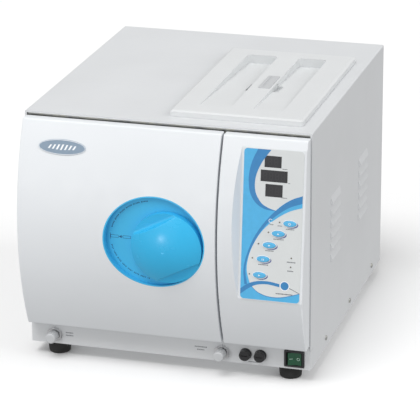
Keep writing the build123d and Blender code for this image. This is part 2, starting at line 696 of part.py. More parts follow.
with BuildPart() as bolt_carriage:
    with BuildSketch(facing(BOLT_Y)):
        # Upright web, two bolts towards the latch side, rack bar above the pinion.
        with Locations(((WEB_X0 + WEB_X1) / 2, KNOB_Z)):
            Rectangle(WEB_X1 - WEB_X0, 2 * BOLT_SPREAD + BAR_H)
        for z in BOLT_Z:
            with Locations(((WEB_X0 + BOLT_TIP_X) / 2, z)):
                Rectangle(BOLT_TIP_X - WEB_X0, BAR_H)
        with Locations(((RACK_X0 + WEB_X0) / 2 + 1.0, RACK_ROOT_Z + 5.0)):
            Rectangle(WEB_X0 - RACK_X0 + 2.0, 10.0)
        # Teeth hang from the bar; a gap stands over the pinion's top tooth at rest.
        for i in range(-RACK_GAPS + 1, 2):
            x = KNOB_X + (i - 0.5) * RACK_PITCH
            with BuildLine():
                Polyline(
                    (x - RACK_ROOT_W, RACK_ROOT_Z + 0.5),
                    (x - RACK_ROOT_W, RACK_ROOT_Z),
                    (x - RACK_TIP_W, RACK_TIP_Z),
                    (x + RACK_TIP_W, RACK_TIP_Z),
                    (x + RACK_ROOT_W, RACK_ROOT_Z),
                    (x + RACK_ROOT_W, RACK_ROOT_Z + 0.5),
                    (x - RACK_ROOT_W, RACK_ROOT_Z + 0.5),
                )
            make_face()
    extrude(amount=BOLT_T)
    tips = bolt_carriage.edges().filter_by(Axis.Y).group_by(Axis.X)[-1]
    chamfer(tips, 2.0)

GUIDE_X = (GUIDE_X0 + GUIDE_X1) / 2
GUIDE_H = PLATE_Y - PLATE_T - BOLT_Y + BOLT_T + 3.0
SADDLE_X = 8.0
SADDLE_Z = RACK_ROOT_Z + 10.0

with BuildPart() as bolt_guides:
    for z in BOLT_Z:
        with BuildSketch(facing(PLATE_Y - PLATE_T)):
            with Locations((GUIDE_X, z)):
                Rectangle(GUIDE_X1 - GUIDE_X0, BAR_H + 8.0)
        extrude(amount=GUIDE_H)
        with BuildSketch(facing(BOLT_Y + GUIDE_SLACK)):
            with Locations((GUIDE_X, z)):
                Rectangle(GUIDE_X1 - GUIDE_X0 + 2.0, BAR_H + 2 * GUIDE_SLACK)
        extrude(amount=BOLT_T + 2 * GUIDE_SLACK, mode=Mode.SUBTRACT)
    # Saddle that keeps the rack bar down on the pinion.
    with BuildSketch(facing(PLATE_Y - PLATE_T)):
        with Locations((SADDLE_X, SADDLE_Z + 1.0)):
            Rectangle(12.0, 8.0)
    extrude(amount=GUIDE_H)
    with BuildSketch(facing(BOLT_Y + GUIDE_SLACK)):
        with Locations((SADDLE_X, SADDLE_Z - 2.0)):
            Rectangle(14.0, 4.0 + 2 * GUIDE_SLACK)
    extrude(amount=BOLT_T + 2 * GUIDE_SLACK, mode=Mode.SUBTRACT)

KEEPER_T = 8.0
KEEPER_FRONT_Y = BOLT_Y - BOLT_T - 5.0

with BuildPart() as bolt_keepers:
    for z in BOLT_Z:
        with BuildSketch(Plane.YZ.offset(KEEPER_X)):
            with Locations(((FRAME_Y + KEEPER_FRONT_Y) / 2, z)):
                Rectangle(FRAME_Y - KEEPER_FRONT_Y, BAR_H + 12.0)
            with Locations((BOLT_Y - BOLT_T / 2, z)):
                Rectangle(BOLT_T + 1.6, BAR_H + 1.6, mode=Mode.SUBTRACT)
        extrude(amount=KEEPER_T)
        with BuildSketch(facing(FRAME_Y)):
            with Locations((KEEPER_X + 8.0, z)):
                Rectangle(16.0, BAR_H + 12.0)
            with Locations((KEEPER_X + 12.0, z + 7.0), (KEEPER_X + 12.0, z - 7.0)):
                Circle(1.7, mode=Mode.SUBTRACT)
        extrude(amount=3.0)

with BuildPart() as door_switch:
    with BuildSketch(facing(FRAME_Y)):
        with Locations((DOOR_SWITCH_X + 3.0, CHAMBER_Z)):
            Rectangle(10.0, 20.0)
    extrude(amount=11.0)
    with BuildSketch(facing(FRAME_Y - 11.0)):
        with Locations((DOOR_SWITCH_X, CHAMBER_Z)):
            Circle(1.8)
    extrude(amount=6.4)

# ---------------------------------------------------------------- hinge
EYE_GAP = 0.4
LEAF_X1 = -186.0
LEAF_T = 3.0
ARM_W = 7.0

with BuildPart() as hinge_brackets:
    for z in HINGE_Z:
        with BuildSketch(facing(FRAME_Y)):
            with Locations((-218.5, z)):
                Rectangle(17.0, 32.0)
            with Locations((-218.5, z + 12.0), (-218.5, z - 12.0)):
                Circle(1.7, mode=Mode.SUBTRACT)
        extrude(amount=3.0)
        with BuildSketch(Plane.XY.offset(z - HINGE_EYE_H / 2)):
            with Locations((HINGE_X, (FRAME_Y + HINGE_Y) / 2)):
                Rectangle(ARM_W, FRAME_Y - HINGE_Y)
            with Locations((HINGE_X, HINGE_Y)):
                Circle(HINGE_EYE_R)
                Circle(HINGE_PIN_R, mode=Mode.SUBTRACT)
        extrude(amount=HINGE_EYE_H)

with BuildPart() as hinge_pins:
    for z in HINGE_Z:
        with BuildSketch(Plane.XY.offset(z - 21.0)):
            with Locations((HINGE_X, HINGE_Y)):
                Circle(HINGE_PIN_R)
        extrude(amount=42.0)
        with BuildSketch(Plane.XY.offset(z + 21.0)):
            with Locations((HINGE_X, HINGE_Y)):
                Circle(HINGE_PIN_R + 1.5)
        extrude(amount=2.0)

EYE_Z = HINGE_EYE_H / 2 + EYE_GAP

with BuildPart() as hinge_leaves:
    for z in HINGE_Z:
        # Flat leaf on the bridge plate, notched round the fixed eye.
        with BuildSketch(facing(PLATE_Y - PLATE_T)):
            with Locations(((HINGE_X + LEAF_X1) / 2, z)):
                Rectangle(LEAF_X1 - HINGE_X, 38.0)
            with Locations((HINGE_X + 4.0, z)):
                Rectangle(9.5, 2 * EYE_Z, align=(Align.MIN, Align.CENTER), mode=Mode.SUBTRACT)
                Rectangle(10.0, 2 * EYE_Z, align=(Align.MAX, Align.CENTER), mode=Mode.SUBTRACT)
            with Locations((LEAF_X1 - 8.0, z + 13.0), (LEAF_X1 - 8.0, z - 13.0)):
                Circle(2.0, mode=Mode.SUBTRACT)
        extrude(amount=LEAF_T)
        for low in (z + EYE_Z, z - 19.0):
            with BuildSketch(Plane.XY.offset(low)):
                with Locations((HINGE_X, HINGE_Y)):
                    Circle(HINGE_EYE_R)
                    Circle(HINGE_PIN_R + RUNNING, mode=Mode.SUBTRACT)
            extrude(amount=19.0 - EYE_Z)
        with BuildSketch(Plane.XY.offset(z - 19.0)):
            with Locations((HINGE_X, HINGE_Y)):
                Circle(HINGE_PIN_R + RUNNING)
        extrude(amount=38.0, mode=Mode.SUBTRACT)

# ---------------------------------------------------------------- control panel
FACET_LEAN = atan2(FACET_HIGH_Y - FACET_LOW_Y, FACET_HIGH_Z - FACET_LOW_Z)
FACET_MID_X = (MEMBRANE_X0 + MEMBRANE_X1) / 2
FACET_MID_Z = (FACET_LOW_Z + FACET_HIGH_Z) / 2
FACET_LEN = (FACET_HIGH_Z - FACET_LOW_Z) / cos(FACET_LEAN)
facet_plane = Plane(
    origin=(FACET_MID_X, (FACET_LOW_Y + FACET_HIGH_Y) / 2, FACET_MID_Z),
    x_dir=(1, 0, 0),
    z_dir=(0, -cos(FACET_LEAN), sin(FACET_LEAN)),
)


def on_facet(x, height):
    """Place on the facet, from X and the height above the casing's bottom edge."""
    return (x - FACET_MID_X, (BASE_Z + height - FACET_MID_Z) / cos(FACET_LEAN))


DISPLAYS = [
    (on_facet(175.75, 347.0), 26.5, 18.0),
    (on_facet(178.0, 325.0), 42.0, 18.0),
    (on_facet(178.5, 302.75), 27.0, 19.5),
]
KEY_PLACES = ((205.0, 254.0), (187.5, 237.0), (174.0, 218.0), (165.0, 195.5), (160.0, 170.0))
KEYS = [on_facet(x, height) for x, height in KEY_PLACES]
KEY_A = 10.0
KEY_B = 4.4
KEY_OUT = 2.2
KEY_GAP = 0.35
KEY_TRAVEL = 1.0
LAMP_PLACES = (
    (189.0, 255.0),
    (172.0, 238.0),
    (157.0, 219.0),
    (148.0, 196.0),
    (144.0, 170.5),
    (209.0, 201.0),
    (208.5, 187.0),
)
LAMPS = [on_facet(x, height) for x, height in LAMP_PLACES]
LAMP_R = 1.1
BOARD_BACK = 14.0

FACET_DRAFT = 25.0
PANEL_BOSSES = [(103.0, BASE_Z + 80.0), (103.0, BASE_Z + 340.0), (218.0, BASE_Z + 80.0)]


def facet_cut(lift, grow):
    """Block in front of the facet, whose left side slopes outwards."""
    with BuildPart() as cut:
        with BuildSketch(facet_plane.offset(lift)):
            with Locations((FACET_X0 - grow - FACET_MID_X, 0)):
                Rectangle(2 * CASE_W, FACET_LEN + 2 * grow, align=(Align.MIN, Align.CENTER))
        extrude(amount=45.0, taper=-FACET_DRAFT)
    return cut.part


facet_block = facet_cut(0.0, 0.0)
facet_backing = facet_cut(-COVER_WALL, 2.0)

with BuildPart() as control_hollow:
    with BuildSketch(Plane.YZ.offset(PANEL_X0 + COVER_WALL)):
        add(cover_profile(COVER_WALL, COVER_BACK_Y + 1.0))
    extrude(amount=PANEL_X1 - PANEL_X0 - 2 * COVER_WALL)
    add(facet_backing, mode=Mode.SUBTRACT)

with BuildPart() as control_cover:
    with BuildSketch(Plane.YZ.offset(PANEL_X0)):
        add(cover_profile())
    extrude(amount=PANEL_X1 - PANEL_X0)
    fillet(front_corners(control_cover), CORNER_R)
    add(facet_block, mode=Mode.SUBTRACT)
    end_edges = control_cover.faces().filter_by(Axis.X).edges()
    fillet(end_edges.sort_by(Axis.Y)[:-2], 1.6)
    add(control_hollow.part, mode=Mode.SUBTRACT)
    # Screw bosses that stand on the bulkhead.
    for x, z in PANEL_BOSSES:
        with BuildSketch(facing(FRAME_Y)):
            with Locations((x, z)):
                Circle(5.0)
                Circle(1.6, mode=Mode.SUBTRACT)
        extrude(amount=FRAME_Y - bulge_y(z) - COVER_WALL / 2)
    # Openings for the display windows, keys and lamps.
    with BuildSketch(facet_plane.offset(5.0)):
        for place, w, h in DISPLAYS:
            with Locations(place):
                Rectangle(w, h)
        with Locations(KEYS):
            Ellipse(KEY_A + KEY_GAP, KEY_B + KEY_GAP)
        with Locations(LAMPS):
            Circle(LAMP_R + 0.1)
    extrude(amount=-15.0, mode=Mode.SUBTRACT)

with BuildPart() as membrane:
    with BuildSketch(facet_plane):
        RectangleRounded(MEMBRANE_X1 - MEMBRANE_X0, FACET_LEN - 3.0, 6.0)
        for place, w, h in DISPLAYS:
            with Locations(place):
                Rectangle(w, h, mode=Mode.SUBTRACT)
        with Locations(KEYS):
            Ellipse(KEY_A + KEY_GAP, KEY_B + KEY_GAP, mode=Mode.SUBTRACT)
        with Locations(LAMPS):
            Circle(LAMP_R + 0.1, mode=Mode.SUBTRACT)
    extrude(amount=MEMBRANE_T)

with BuildPart() as display_windows:
    with BuildSketch(facet_plane.offset(-COVER_WALL)):
        for place, w, h in DISPLAYS:
            with Locations(place):
                Rectangle(w - 0.2, h - 0.2)
    extrude(amount=COVER_WALL + MEMBRANE_T - 0.1)

with BuildPart() as indicator_lamps:
    with BuildSketch(facet_plane.offset(-BOARD_BACK)):
        with Locations(LAMPS):
            Circle(LAMP_R)
    extrude(amount=BOARD_BACK + MEMBRANE_T + 0.5)
    fillet(indicator_lamps.edges().filter_by(GeomType.CIRCLE).group_by(Axis.Y)[0], 0.4)

with BuildPart() as control_board:
    with BuildSketch(facet_plane.offset(-BOARD_BACK - 1.6)):
        with Locations((0, -4.0)):
            Rectangle(MEMBRANE_X1 - MEMBRANE_X0 - 6.0, FACET_LEN - 18.0)
    extrude(amount=1.6)
    # Controller and its chips on the back.
    with BuildSketch(facet_plane.offset(-BOARD_BACK - 1.6)):
        with Locations((15.0, -40.0)):
            Rectangle(22.0, 22.0)
        with Locations((-20.0, -70.0), (-20.0, -30.0), (20.0, 10.0)):
            Rectangle(9.0, 18.0)
    extrude(amount=-2.5)
    # Display modules behind the windows.
    with BuildSketch(facet_plane.offset(-BOARD_BACK)):
        for place, w, h in DISPLAYS:
            with Locations(place):
                Rectangle(w - 3.0, h - 3.0)
    extrude(amount=BOARD_BACK - COVER_WALL - 0.5)
    # One tact switch under each key.
    with BuildSketch(facet_plane.offset(-BOARD_BACK)):
        with Locations(KEYS):
            Rectangle(6.0, 6.0)
    extrude(amount=4.0)
    with BuildSketch(facet_plane.offset(-BOARD_BACK + 4.0)):
        with Locations(KEYS):
            Circle(1.7)
    extrude(amount=2.0)

# Five keys, each with a collar behind the cover and a stem down to its switch.
KEY_NAMES = ("key_top", "key_second", "key_third", "key_fourth", "key_start")
key_parts = {}
for key_name, place in zip(KEY_NAMES, KEYS):
    with BuildPart() as key:
        with BuildSketch(facet_plane.offset(-COVER_WALL - 1.5)):
            with Locations(place):
                Ellipse(KEY_A, KEY_B)
        extrude(amount=COVER_WALL + 1.5 + MEMBRANE_T + KEY_OUT)
        fillet(key.edges().group_by(Axis.Y)[0], 1.2)
        with BuildSketch(facet_plane.offset(-COVER_WALL - 1.5)):
            with Locations(place):
                Ellipse(KEY_A + 1.4, KEY_B + 1.4)
        extrude(amount=1.2)
        with BuildSketch(facet_plane.offset(-COVER_WALL - 1.5)):
            with Locations(place):
                Circle(1.7)
        extrude(amount=-(BOARD_BACK - COVER_WALL - 1.5 - 6.0 - KEY_TRAVEL - 0.3))
    key_parts[key_name] = key

# ---------------------------------------------------------------- drains, fuses, switch
NUT_AF = 22.0
NUT_T = 5.0
DRAIN_CAP_R = 8.8
DRAIN_CAP_L = 17.0
DRAIN_CAP_GAP = 0.4
DRAIN_STEM_R = 3.0

with BuildPart() as drain_valves:
    # Hexagonal nut on the strip, barrel and hose tail behind it.
    with BuildSketch(facing(FRONT_Y)):
        with Locations([(x, DRAIN_Z) for x in DRAIN_X]):
            RegularPolygon(NUT_AF / 2, 6, major_radius=False, rotation=30)
    extrude(amount=NUT_T)
    chamfer(drain_valves.edges().group_by(Axis.Y)[0], 0.7)
    with BuildSketch(facing(FRONT_Y - NUT_T)):
        with Locations([(x, DRAIN_Z) for x in DRAIN_X]):
            Circle(6.5)
    extrude(amount=1.5)
    with BuildSketch(facing(FRONT_Y + 18.0)):
        with Locations([(x, DRAIN_Z) for x in DRAIN_X]):
            Circle(5.0)
    extrude(amount=18.0)
    with BuildSketch(facing(FRONT_Y + 26.0)):
        with Locations([(x, DRAIN_Z) for x in DRAIN_X]):
            Circle(3.5)
    extrude(amount=8.0)
    with BuildSketch(facing(FRONT_Y + 2.0)):
        with Locations([(x, DRAIN_Z) for x in DRAIN_X]):
            Circle(DRAIN_STEM_R + RUNNING)
    extrude(amount=20.0, mode=Mode.SUBTRACT)

DRAIN_CAP_Y = FRONT_Y - NUT_T - 1.5 - DRAIN_CAP_GAP
drain_caps = {}
for cap_name, x in zip(("drain_knob_left", "drain_knob_right"), DRAIN_X):
    with BuildPart() as drain_cap:
        with BuildSketch(facing(DRAIN_CAP_Y)):
            with Locations((x, DRAIN_Z)):
                Circle(DRAIN_CAP_R)
        extrude(amount=DRAIN_CAP_L, taper=1.5)
        fillet(drain_cap.edges().group_by(Axis.Y)[0], 2.2)
        # Shallow grip flutes round the cap.
        with BuildSketch(facing(DRAIN_CAP_Y - 3.0)):
            with Locations((x, DRAIN_Z)):
                with PolarLocations(DRAIN_CAP_R + 1.2, 12):
                    Circle(1.7)
        extrude(amount=DRAIN_CAP_L, mode=Mode.SUBTRACT)
        with BuildSketch(facing(FRONT_Y + 1.5)):
            with Locations((x, DRAIN_Z)):
                Circle(DRAIN_STEM_R)
        extrude(amount=FRONT_Y + 1.5 - DRAIN_CAP_Y + 1.0)
    drain_caps[cap_name] = drain_cap

FUSE_CAP_R = 9.0
FUSE_FLANGE_T = 2.0
with BuildPart() as fuse_holders:
    with BuildSketch(facing(FRONT_Y)):
        with Locations([(x, FUSE_Z) for x in FUSE_X]):
            Circle(FUSE_CAP_R + 0.6)
    extrude(amount=FUSE_FLANGE_T)
    with BuildSketch(facing(FRONT_Y + 30.0)):
        with Locations([(x, FUSE_Z) for x in FUSE_X]):
            Circle(6.0)
    extrude(amount=30.0)
    with BuildSketch(facing(FRONT_Y + 26.0)):
        with Locations([(x, FUSE_Z) for x in FUSE_X]):
            Circle(4.0)
    extrude(amount=40.0, mode=Mode.SUBTRACT)

fuse_caps = {}
for cap_name, x in zip(("fuse_cap_left", "fuse_cap_right"), FUSE_X):
    with BuildPart() as fuse_cap:
        with BuildSketch(facing(FRONT_Y - FUSE_FLANGE_T - 0.3)):
            with Locations((x, FUSE_Z)):
                Circle(FUSE_CAP_R)
        extrude(amount=8.0, taper=2)
        fillet(fuse_cap.edges().group_by(Axis.Y)[0], 1.2)
        # Coin slot and the carrier that holds the fuse inside.
        with BuildSketch(facing(FRONT_Y - FUSE_FLANGE_T - 6.8)):
            with Locations((x, FUSE_Z)):
                Rectangle(11.0, 1.8)
        extrude(amount=4.0, mode=Mode.SUBTRACT)
        with BuildSketch(facing(FRONT_Y + 22.0)):
            with Locations((x, FUSE_Z)):
                Circle(3.7)
        extrude(amount=22.0 + FUSE_FLANGE_T + 1.0)
    fuse_caps[cap_name] = fuse_cap

BEZEL_T = 2.2
ROCKER_W = 24.0
ROCKER_H = 20.5
ROCKER_TOP = 10.6  # half width of its face
ROCKER_TILT = 7.0
ROCKER_AXIS_Y = FRONT_Y + 6.0
rocker_plane = Plane(
    origin=(SWITCH_X, ROCKER_AXIS_Y, SWITCH_Z - ROCKER_H / 2),
    x_dir=(cos(radians(ROCKER_TILT)), sin(radians(ROCKER_TILT)), 0),
    z_dir=(0, 0, 1),
)

with BuildPart() as switch_bezel:
    with BuildSketch(facing(FRONT_Y)):
        with Locations((SWITCH_X, SWITCH_Z)):
            RectangleRounded(SWITCH_W, SWITCH_H, 1.5)
    extrude(amount=BEZEL_T)
    chamfer(switch_bezel.edges().group_by(Axis.Y)[0], 0.8)
    with BuildSketch(facing(FRONT_Y + 22.0)):
        with Locations((SWITCH_X, SWITCH_Z)):
            Rectangle(SWITCH_W - 4.6, SWITCH_H - 4.6)
    extrude(amount=22.0)
    with BuildSketch(facing(FRONT_Y + 14.0)):
        with Locations((SWITCH_X, SWITCH_Z)):
            Rectangle(ROCKER_W + 1.0, ROCKER_H + 0.8)
    extrude(amount=30.0, mode=Mode.SUBTRACT)
    # Terminals at the back.
    with BuildSketch(facing(FRONT_Y + 31.0)):
        with Locations((SWITCH_X, SWITCH_Z)):
            with GridLocations(12.0, 10.0, 2, 2):
                Rectangle(0.9, 5.0)
    extrude(amount=10.0)

with BuildPart() as switch_rocker:
    # Side view: shallow V face on a rounded root, turned to its rest position.
    with BuildSketch(rocker_plane):
        with BuildLine():
            ThreePointArc((-ROCKER_TOP, -9.5), (0, -7.0), (ROCKER_TOP, -9.5))
            Polyline((ROCKER_TOP, -9.5), (ROCKER_TOP, -4.0), (4.0, 5.0))
            ThreePointArc((4.0, 5.0), (0, 6.4), (-4.0, 5.0))
            Polyline((-4.0, 5.0), (-ROCKER_TOP, -4.0), (-ROCKER_TOP, -9.5))
        make_face()
    extrude(amount=ROCKER_H)
    # Pivot pins, short of the bezel's walls.
    with BuildSketch(Plane.XY.offset(SWITCH_Z - ROCKER_H / 2 - 0.3)):
        with Locations((SWITCH_X, ROCKER_AXIS_Y)):
            Circle(1.5)
    extrude(amount=ROCKER_H + 0.6)

# ---------------------------------------------------------------- water tank and its lid
LID_MID_X = (LID_X0 + LID_X1) / 2
LID_MID_Y = (LID_Y0 + LID_Y1) / 2
LID_W = LID_X1 - LID_X0
LID_L = LID_Y1 - LID_Y0
LID_TOP_Z = TOP_Z + LID_PROUD
TANK_WALL = 3.0
TANK_X0 = LID_X0 + LID_LAP + 2.0
TANK_X1 = LID_X1 - LID_LAP - 2.0
TANK_Y0 = LID_Y0 + LID_LAP + 2.0
TANK_Y1 = LID_Y1 - LID_LAP - 2.0
TANK_TOP_Z = TOP_Z - SHEET - 0.3
TANK_STEP_X = 96.0  # deep part to the right of the chamber
TANK_SHELF_Z = CHAMBER_Z + 151.0
TANK_FLOOR_Z = BASE_Z + 225.0
RECESS_Y0 = FRONT_Y + 68.0  # finger recesses slope down towards the back
RECESS_Y1 = FRONT_Y + 354.0
RECESS_DEPTH = 15.0
RECESSES = ((33.5, 84.5), (120.0, 167.0))
RECESS_SKIN = 2.2
BRIDGE_X0 = RECESSES[0][1]
BRIDGE_X1 = RECESSES[1][0]
POCKET_LOW_Z = LID_TOP_Z - 13.0
POCKET_R = 5.0
SKIRT_T = 2.5
SKIRT_W = TANK_X1 - TANK_X0 - 2 * TANK_WALL - 2.0
SKIRT_L = TANK_Y1 - TANK_Y0 - 2 * TANK_WALL - 2.0
GRIP_PLACE = (107.5, FRONT_Y + 208.0)
GRIP_PLATE_W = 19.0
GRIP_PLATE_L = 67.0

# Finger pockets that reach under the bridge: centre X and Y, width, length.
POCKETS = (
    (BRIDGE_X0 - 2.0, FRONT_Y + 197.0, 13.0, 45.0),
    (BRIDGE_X1 + 3.0, FRONT_Y + 199.0, 13.0, 36.0),
)


def recess_wedge(x0, x1, grow):
    """Wedge of one ramped finger recess, or the same wedge grown by a skin."""
    with BuildPart() as wedge:
        with BuildSketch(Plane.YZ.offset(x0 - grow)):
            Polygon(
                (RECESS_Y0 - grow, LID_TOP_Z + 1.0),
                (RECESS_Y0 - grow, LID_TOP_Z - 0.8 - grow),
                (RECESS_Y1 + grow, LID_TOP_Z - RECESS_DEPTH - grow),
                (RECESS_Y1 + grow, LID_TOP_Z + 1.0),
                align=None,
            )
        extrude(amount=x1 - x0 + 2 * grow)
        fillet(wedge.edges().filter_by(Axis.Z).group_by(Axis.Y)[-1], 7.0 + grow)
    return wedge.part


recess_pans = [recess_wedge(x0, x1, RECESS_SKIN) for x0, x1 in RECESSES]
recess_cuts = [recess_wedge(x0, x1, 0.0) for x0, x1 in RECESSES]

with BuildPart() as tank_lid:
    with BuildSketch(Plane.XY.offset(TOP_Z + 0.2)):
        with Locations((LID_MID_X, LID_MID_Y)):
            RectangleRounded(LID_W, LID_L, 5.0)
    extrude(amount=LID_PROUD - 0.2)
    chamfer(tank_lid.faces().sort_by(Axis.Z)[-1].edges(), 2.0, 4.0)
    # Hollow underside, skirt inside the tank's mouth, and the two recess pans.
    with BuildSketch(Plane.XY.offset(TOP_Z + 0.2)):
        with Locations((LID_MID_X, LID_MID_Y)):
            RectangleRounded(LID_W - 2 * LID_LAP - 4.0, LID_L - 2 * LID_LAP - 4.0, 4.0)
    extrude(amount=LID_PROUD - 0.2 - LID_WALL, mode=Mode.SUBTRACT)
    with BuildSketch(Plane.XY.offset(TOP_Z - 8.0)):
        with Locations((LID_MID_X, LID_MID_Y)):
            RectangleRounded(SKIRT_W, SKIRT_L, 4.0)
            RectangleRounded(SKIRT_W - 2 * SKIRT_T, SKIRT_L - 2 * SKIRT_T, 2.0, mode=Mode.SUBTRACT)
    extrude(amount=LID_PROUD + 8.0 - 1.0)
    for pan in recess_pans:
        add(pan)
    with BuildSketch(Plane.XY.offset(POCKET_LOW_Z - RECESS_SKIN)):
        for x, y, w, l in POCKETS:
            with Locations((x, y)):
                RectangleRounded(w + 2 * RECESS_SKIN, l + 2 * RECESS_SKIN, POCKET_R + RECESS_SKIN)
    extrude(amount=LID_TOP_Z - POCKET_LOW_Z)
    with BuildSketch(Plane.XY.offset(LID_TOP_Z)):
        with Locations((LID_MID_X, LID_MID_Y)):
            Rectangle(LID_W + 20.0, LID_L + 20.0)
    extrude(amount=10.0, mode=Mode.SUBTRACT)
    for cut in recess_cuts:
        add(cut, mode=Mode.SUBTRACT)
    with BuildSketch(Plane.XY.offset(POCKET_LOW_Z)):
        for x, y, w, l in POCKETS:
            with Locations((x, y)):
                RectangleRounded(w, l, POCKET_R)
    extrude(amount=LID_TOP_Z - LID_WALL - POCKET_LOW_Z, mode=Mode.SUBTRACT)

with BuildPart() as lid_grip:
    # Grip plate on the bridge, with a long groove.
    with BuildSketch(Plane.XY.offset(LID_TOP_Z)):
        with Locations(GRIP_PLACE):
            RectangleRounded(GRIP_PLATE_W, GRIP_PLATE_L, 2.0)
    extrude(amount=1.2)
    with BuildSketch(Plane.XY.offset(LID_TOP_Z + 1.2)):
        with Locations((GRIP_PLACE[0] - 3.0, GRIP_PLACE[1])):
            SlotOverall(GRIP_PLATE_L - 12.0, 3.0, rotation=90)
    extrude(amount=-0.8, mode=Mode.SUBTRACT)

with BuildPart() as water_tank:
    with BuildSketch(Plane.XZ.offset(-TANK_Y1)):
        Polygon(
            (TANK_X0, TANK_TOP_Z),
            (TANK_X0, TANK_SHELF_Z),
            (TANK_STEP_X, TANK_SHELF_Z),
            (TANK_STEP_X, TANK_FLOOR_Z),
            (TANK_X1, TANK_FLOOR_Z),
            (TANK_X1, TANK_TOP_Z),
            align=None,
        )
    extrude(amount=TANK_Y1 - TANK_Y0)
    fillet(water_tank.edges().filter_by(Axis.Z), 5.0)
    with BuildSketch(Plane.XZ.offset(-TANK_Y1 + TANK_WALL)):
        Polygon(
            (TANK_X0 + TANK_WALL, TANK_TOP_Z + 1.0),
            (TANK_X0 + TANK_WALL, TANK_SHELF_Z + TANK_WALL),
            (TANK_STEP_X + TANK_WALL, TANK_SHELF_Z + TANK_WALL),
            (TANK_STEP_X + TANK_WALL, TANK_FLOOR_Z + TANK_WALL),
            (TANK_X1 - TANK_WALL, TANK_FLOOR_Z + TANK_WALL),
            (TANK_X1 - TANK_WALL, TANK_TOP_Z + 1.0),
            align=None,
        )
    extrude(amount=TANK_Y1 - TANK_Y0 - 2 * TANK_WALL, mode=Mode.SUBTRACT)
    # Outlet at the bottom.
    with BuildSketch(Plane.XY.offset(TANK_FLOOR_Z)):
        with Locations((150.0, FRONT_Y + 300.0)):
            Circle(7.0)
    extrude(amount=-14.0)
    with BuildSketch(Plane.XY.offset(TANK_FLOOR_Z - 20.0)):
        with Locations((150.0, FRONT_Y + 300.0)):
            Circle(4.0)
    extrude(amount=30.0, mode=Mode.SUBTRACT)

# ---------------------------------------------------------------- pressure chamber
CHAMBER_END_Y = FLANGE_Y + CHAMBER_L
DISH_END = 26.0  # depth of the domed rear end
JACKET_R = CHAMBER_R + CHAMBER_WALL
SHELL_END_Y = CHAMBER_END_Y + CHAMBER_WALL
KNUCKLE_Y = CHAMBER_END_Y - DISH_END
PORTS_Y = CHAMBER_END_Y - 70.0
INSULATION_R = 149.0
PORT_R = 8.0
chamber_axis = along_y(CHAMBER_X, CHAMBER_Z)

with BuildPart() as chamber:
    # Wall with the flange in front and a domed end, round an inlet boss at its centre.
    with BuildSketch(Plane.XY.offset(CHAMBER_Z)):
        with BuildLine():
            Polyline(
                (CHAMBER_X + PORT_R, SHELL_END_Y),
                (CHAMBER_X + PORT_R, CHAMBER_END_Y),
            )
            ThreePointArc(
                (CHAMBER_X + PORT_R, CHAMBER_END_Y),
                (CHAMBER_X + 0.72 * CHAMBER_R, CHAMBER_END_Y - 0.42 * DISH_END),
                (CHAMBER_X + CHAMBER_R, KNUCKLE_Y),
            )
            Polyline(
                (CHAMBER_X + CHAMBER_R, KNUCKLE_Y),
                (CHAMBER_X + CHAMBER_R, FLANGE_Y),
                (CHAMBER_X + FLANGE_R, FLANGE_Y),
                (CHAMBER_X + FLANGE_R, FRAME_Y),
                (CHAMBER_X + JACKET_R, FRAME_Y),
                (CHAMBER_X + JACKET_R, KNUCKLE_Y),
            )
            ThreePointArc(
                (CHAMBER_X + JACKET_R, KNUCKLE_Y),
                (CHAMBER_X + 0.72 * JACKET_R, SHELL_END_Y - 0.42 * DISH_END),
                (CHAMBER_X + PORT_R, SHELL_END_Y),
            )
        make_face()
    revolve(axis=chamber_axis)
    with BuildSketch(facing(SHELL_END_Y + 6.0)):
        with Locations((CHAMBER_X, CHAMBER_Z)):
            Circle(PORT_R + 4.0)
    extrude(amount=8.5)
    # Ports: relief line on the top, drain at the bottom.
    with BuildSketch(Plane.XY.offset(CHAMBER_Z + CHAMBER_R + 1.0)):
        with Locations((CHAMBER_X, PORTS_Y)):
            Circle(PORT_R)
    extrude(amount=17.0)
    with BuildSketch(Plane.XY.offset(CHAMBER_Z - CHAMBER_R - 1.0)):
        with Locations((CHAMBER_X, PORTS_Y)):
            Circle(PORT_R)
    extrude(amount=-26.0)
    # Tapped holes of the flange bolts.
    with BuildSketch(facing(FRAME_Y)):
        with Locations((CHAMBER_X, CHAMBER_Z)):
            with PolarLocations(FLANGE_BOLT_PCD / 2, 8, start_angle=22.5):
                Circle(FLANGE_BOLT_R)
    extrude(amount=FLANGE_T - 2.0, mode=Mode.SUBTRACT)

BOLT_HEAD_Y = FRAME_Y + FRAME_T

with BuildPart() as flange_bolts:
    with BuildSketch(facing(BOLT_HEAD_Y + 4.0)):
        with Locations((CHAMBER_X, CHAMBER_Z)):
            with PolarLocations(FLANGE_BOLT_PCD / 2, 8, start_angle=22.5):
                RegularPolygon(4.0, 6, major_radius=False)
    extrude(amount=4.0)
    with BuildSketch(facing(BOLT_HEAD_Y)):
        with Locations((CHAMBER_X, CHAMBER_Z)):
            with PolarLocations(FLANGE_BOLT_PCD / 2, 8, start_angle=22.5):
                Circle(FLANGE_BOLT_R - 0.1)
    extrude(amount=FRAME_T + FLANGE_T - 3.0)

with BuildPart() as band_heaters:
    for y in (-130.0, -10.0):
        with BuildSketch(facing(y + 60.0)):
            with Locations((CHAMBER_X, CHAMBER_Z)):
                Circle(JACKET_R + 2.6)
                Circle(JACKET_R + 0.1, mode=Mode.SUBTRACT)
                # Clamping gap at the bottom.
                with Locations((0, -JACKET_R)):
                    Rectangle(10.0, 20.0, mode=Mode.SUBTRACT)
        extrude(amount=60.0)

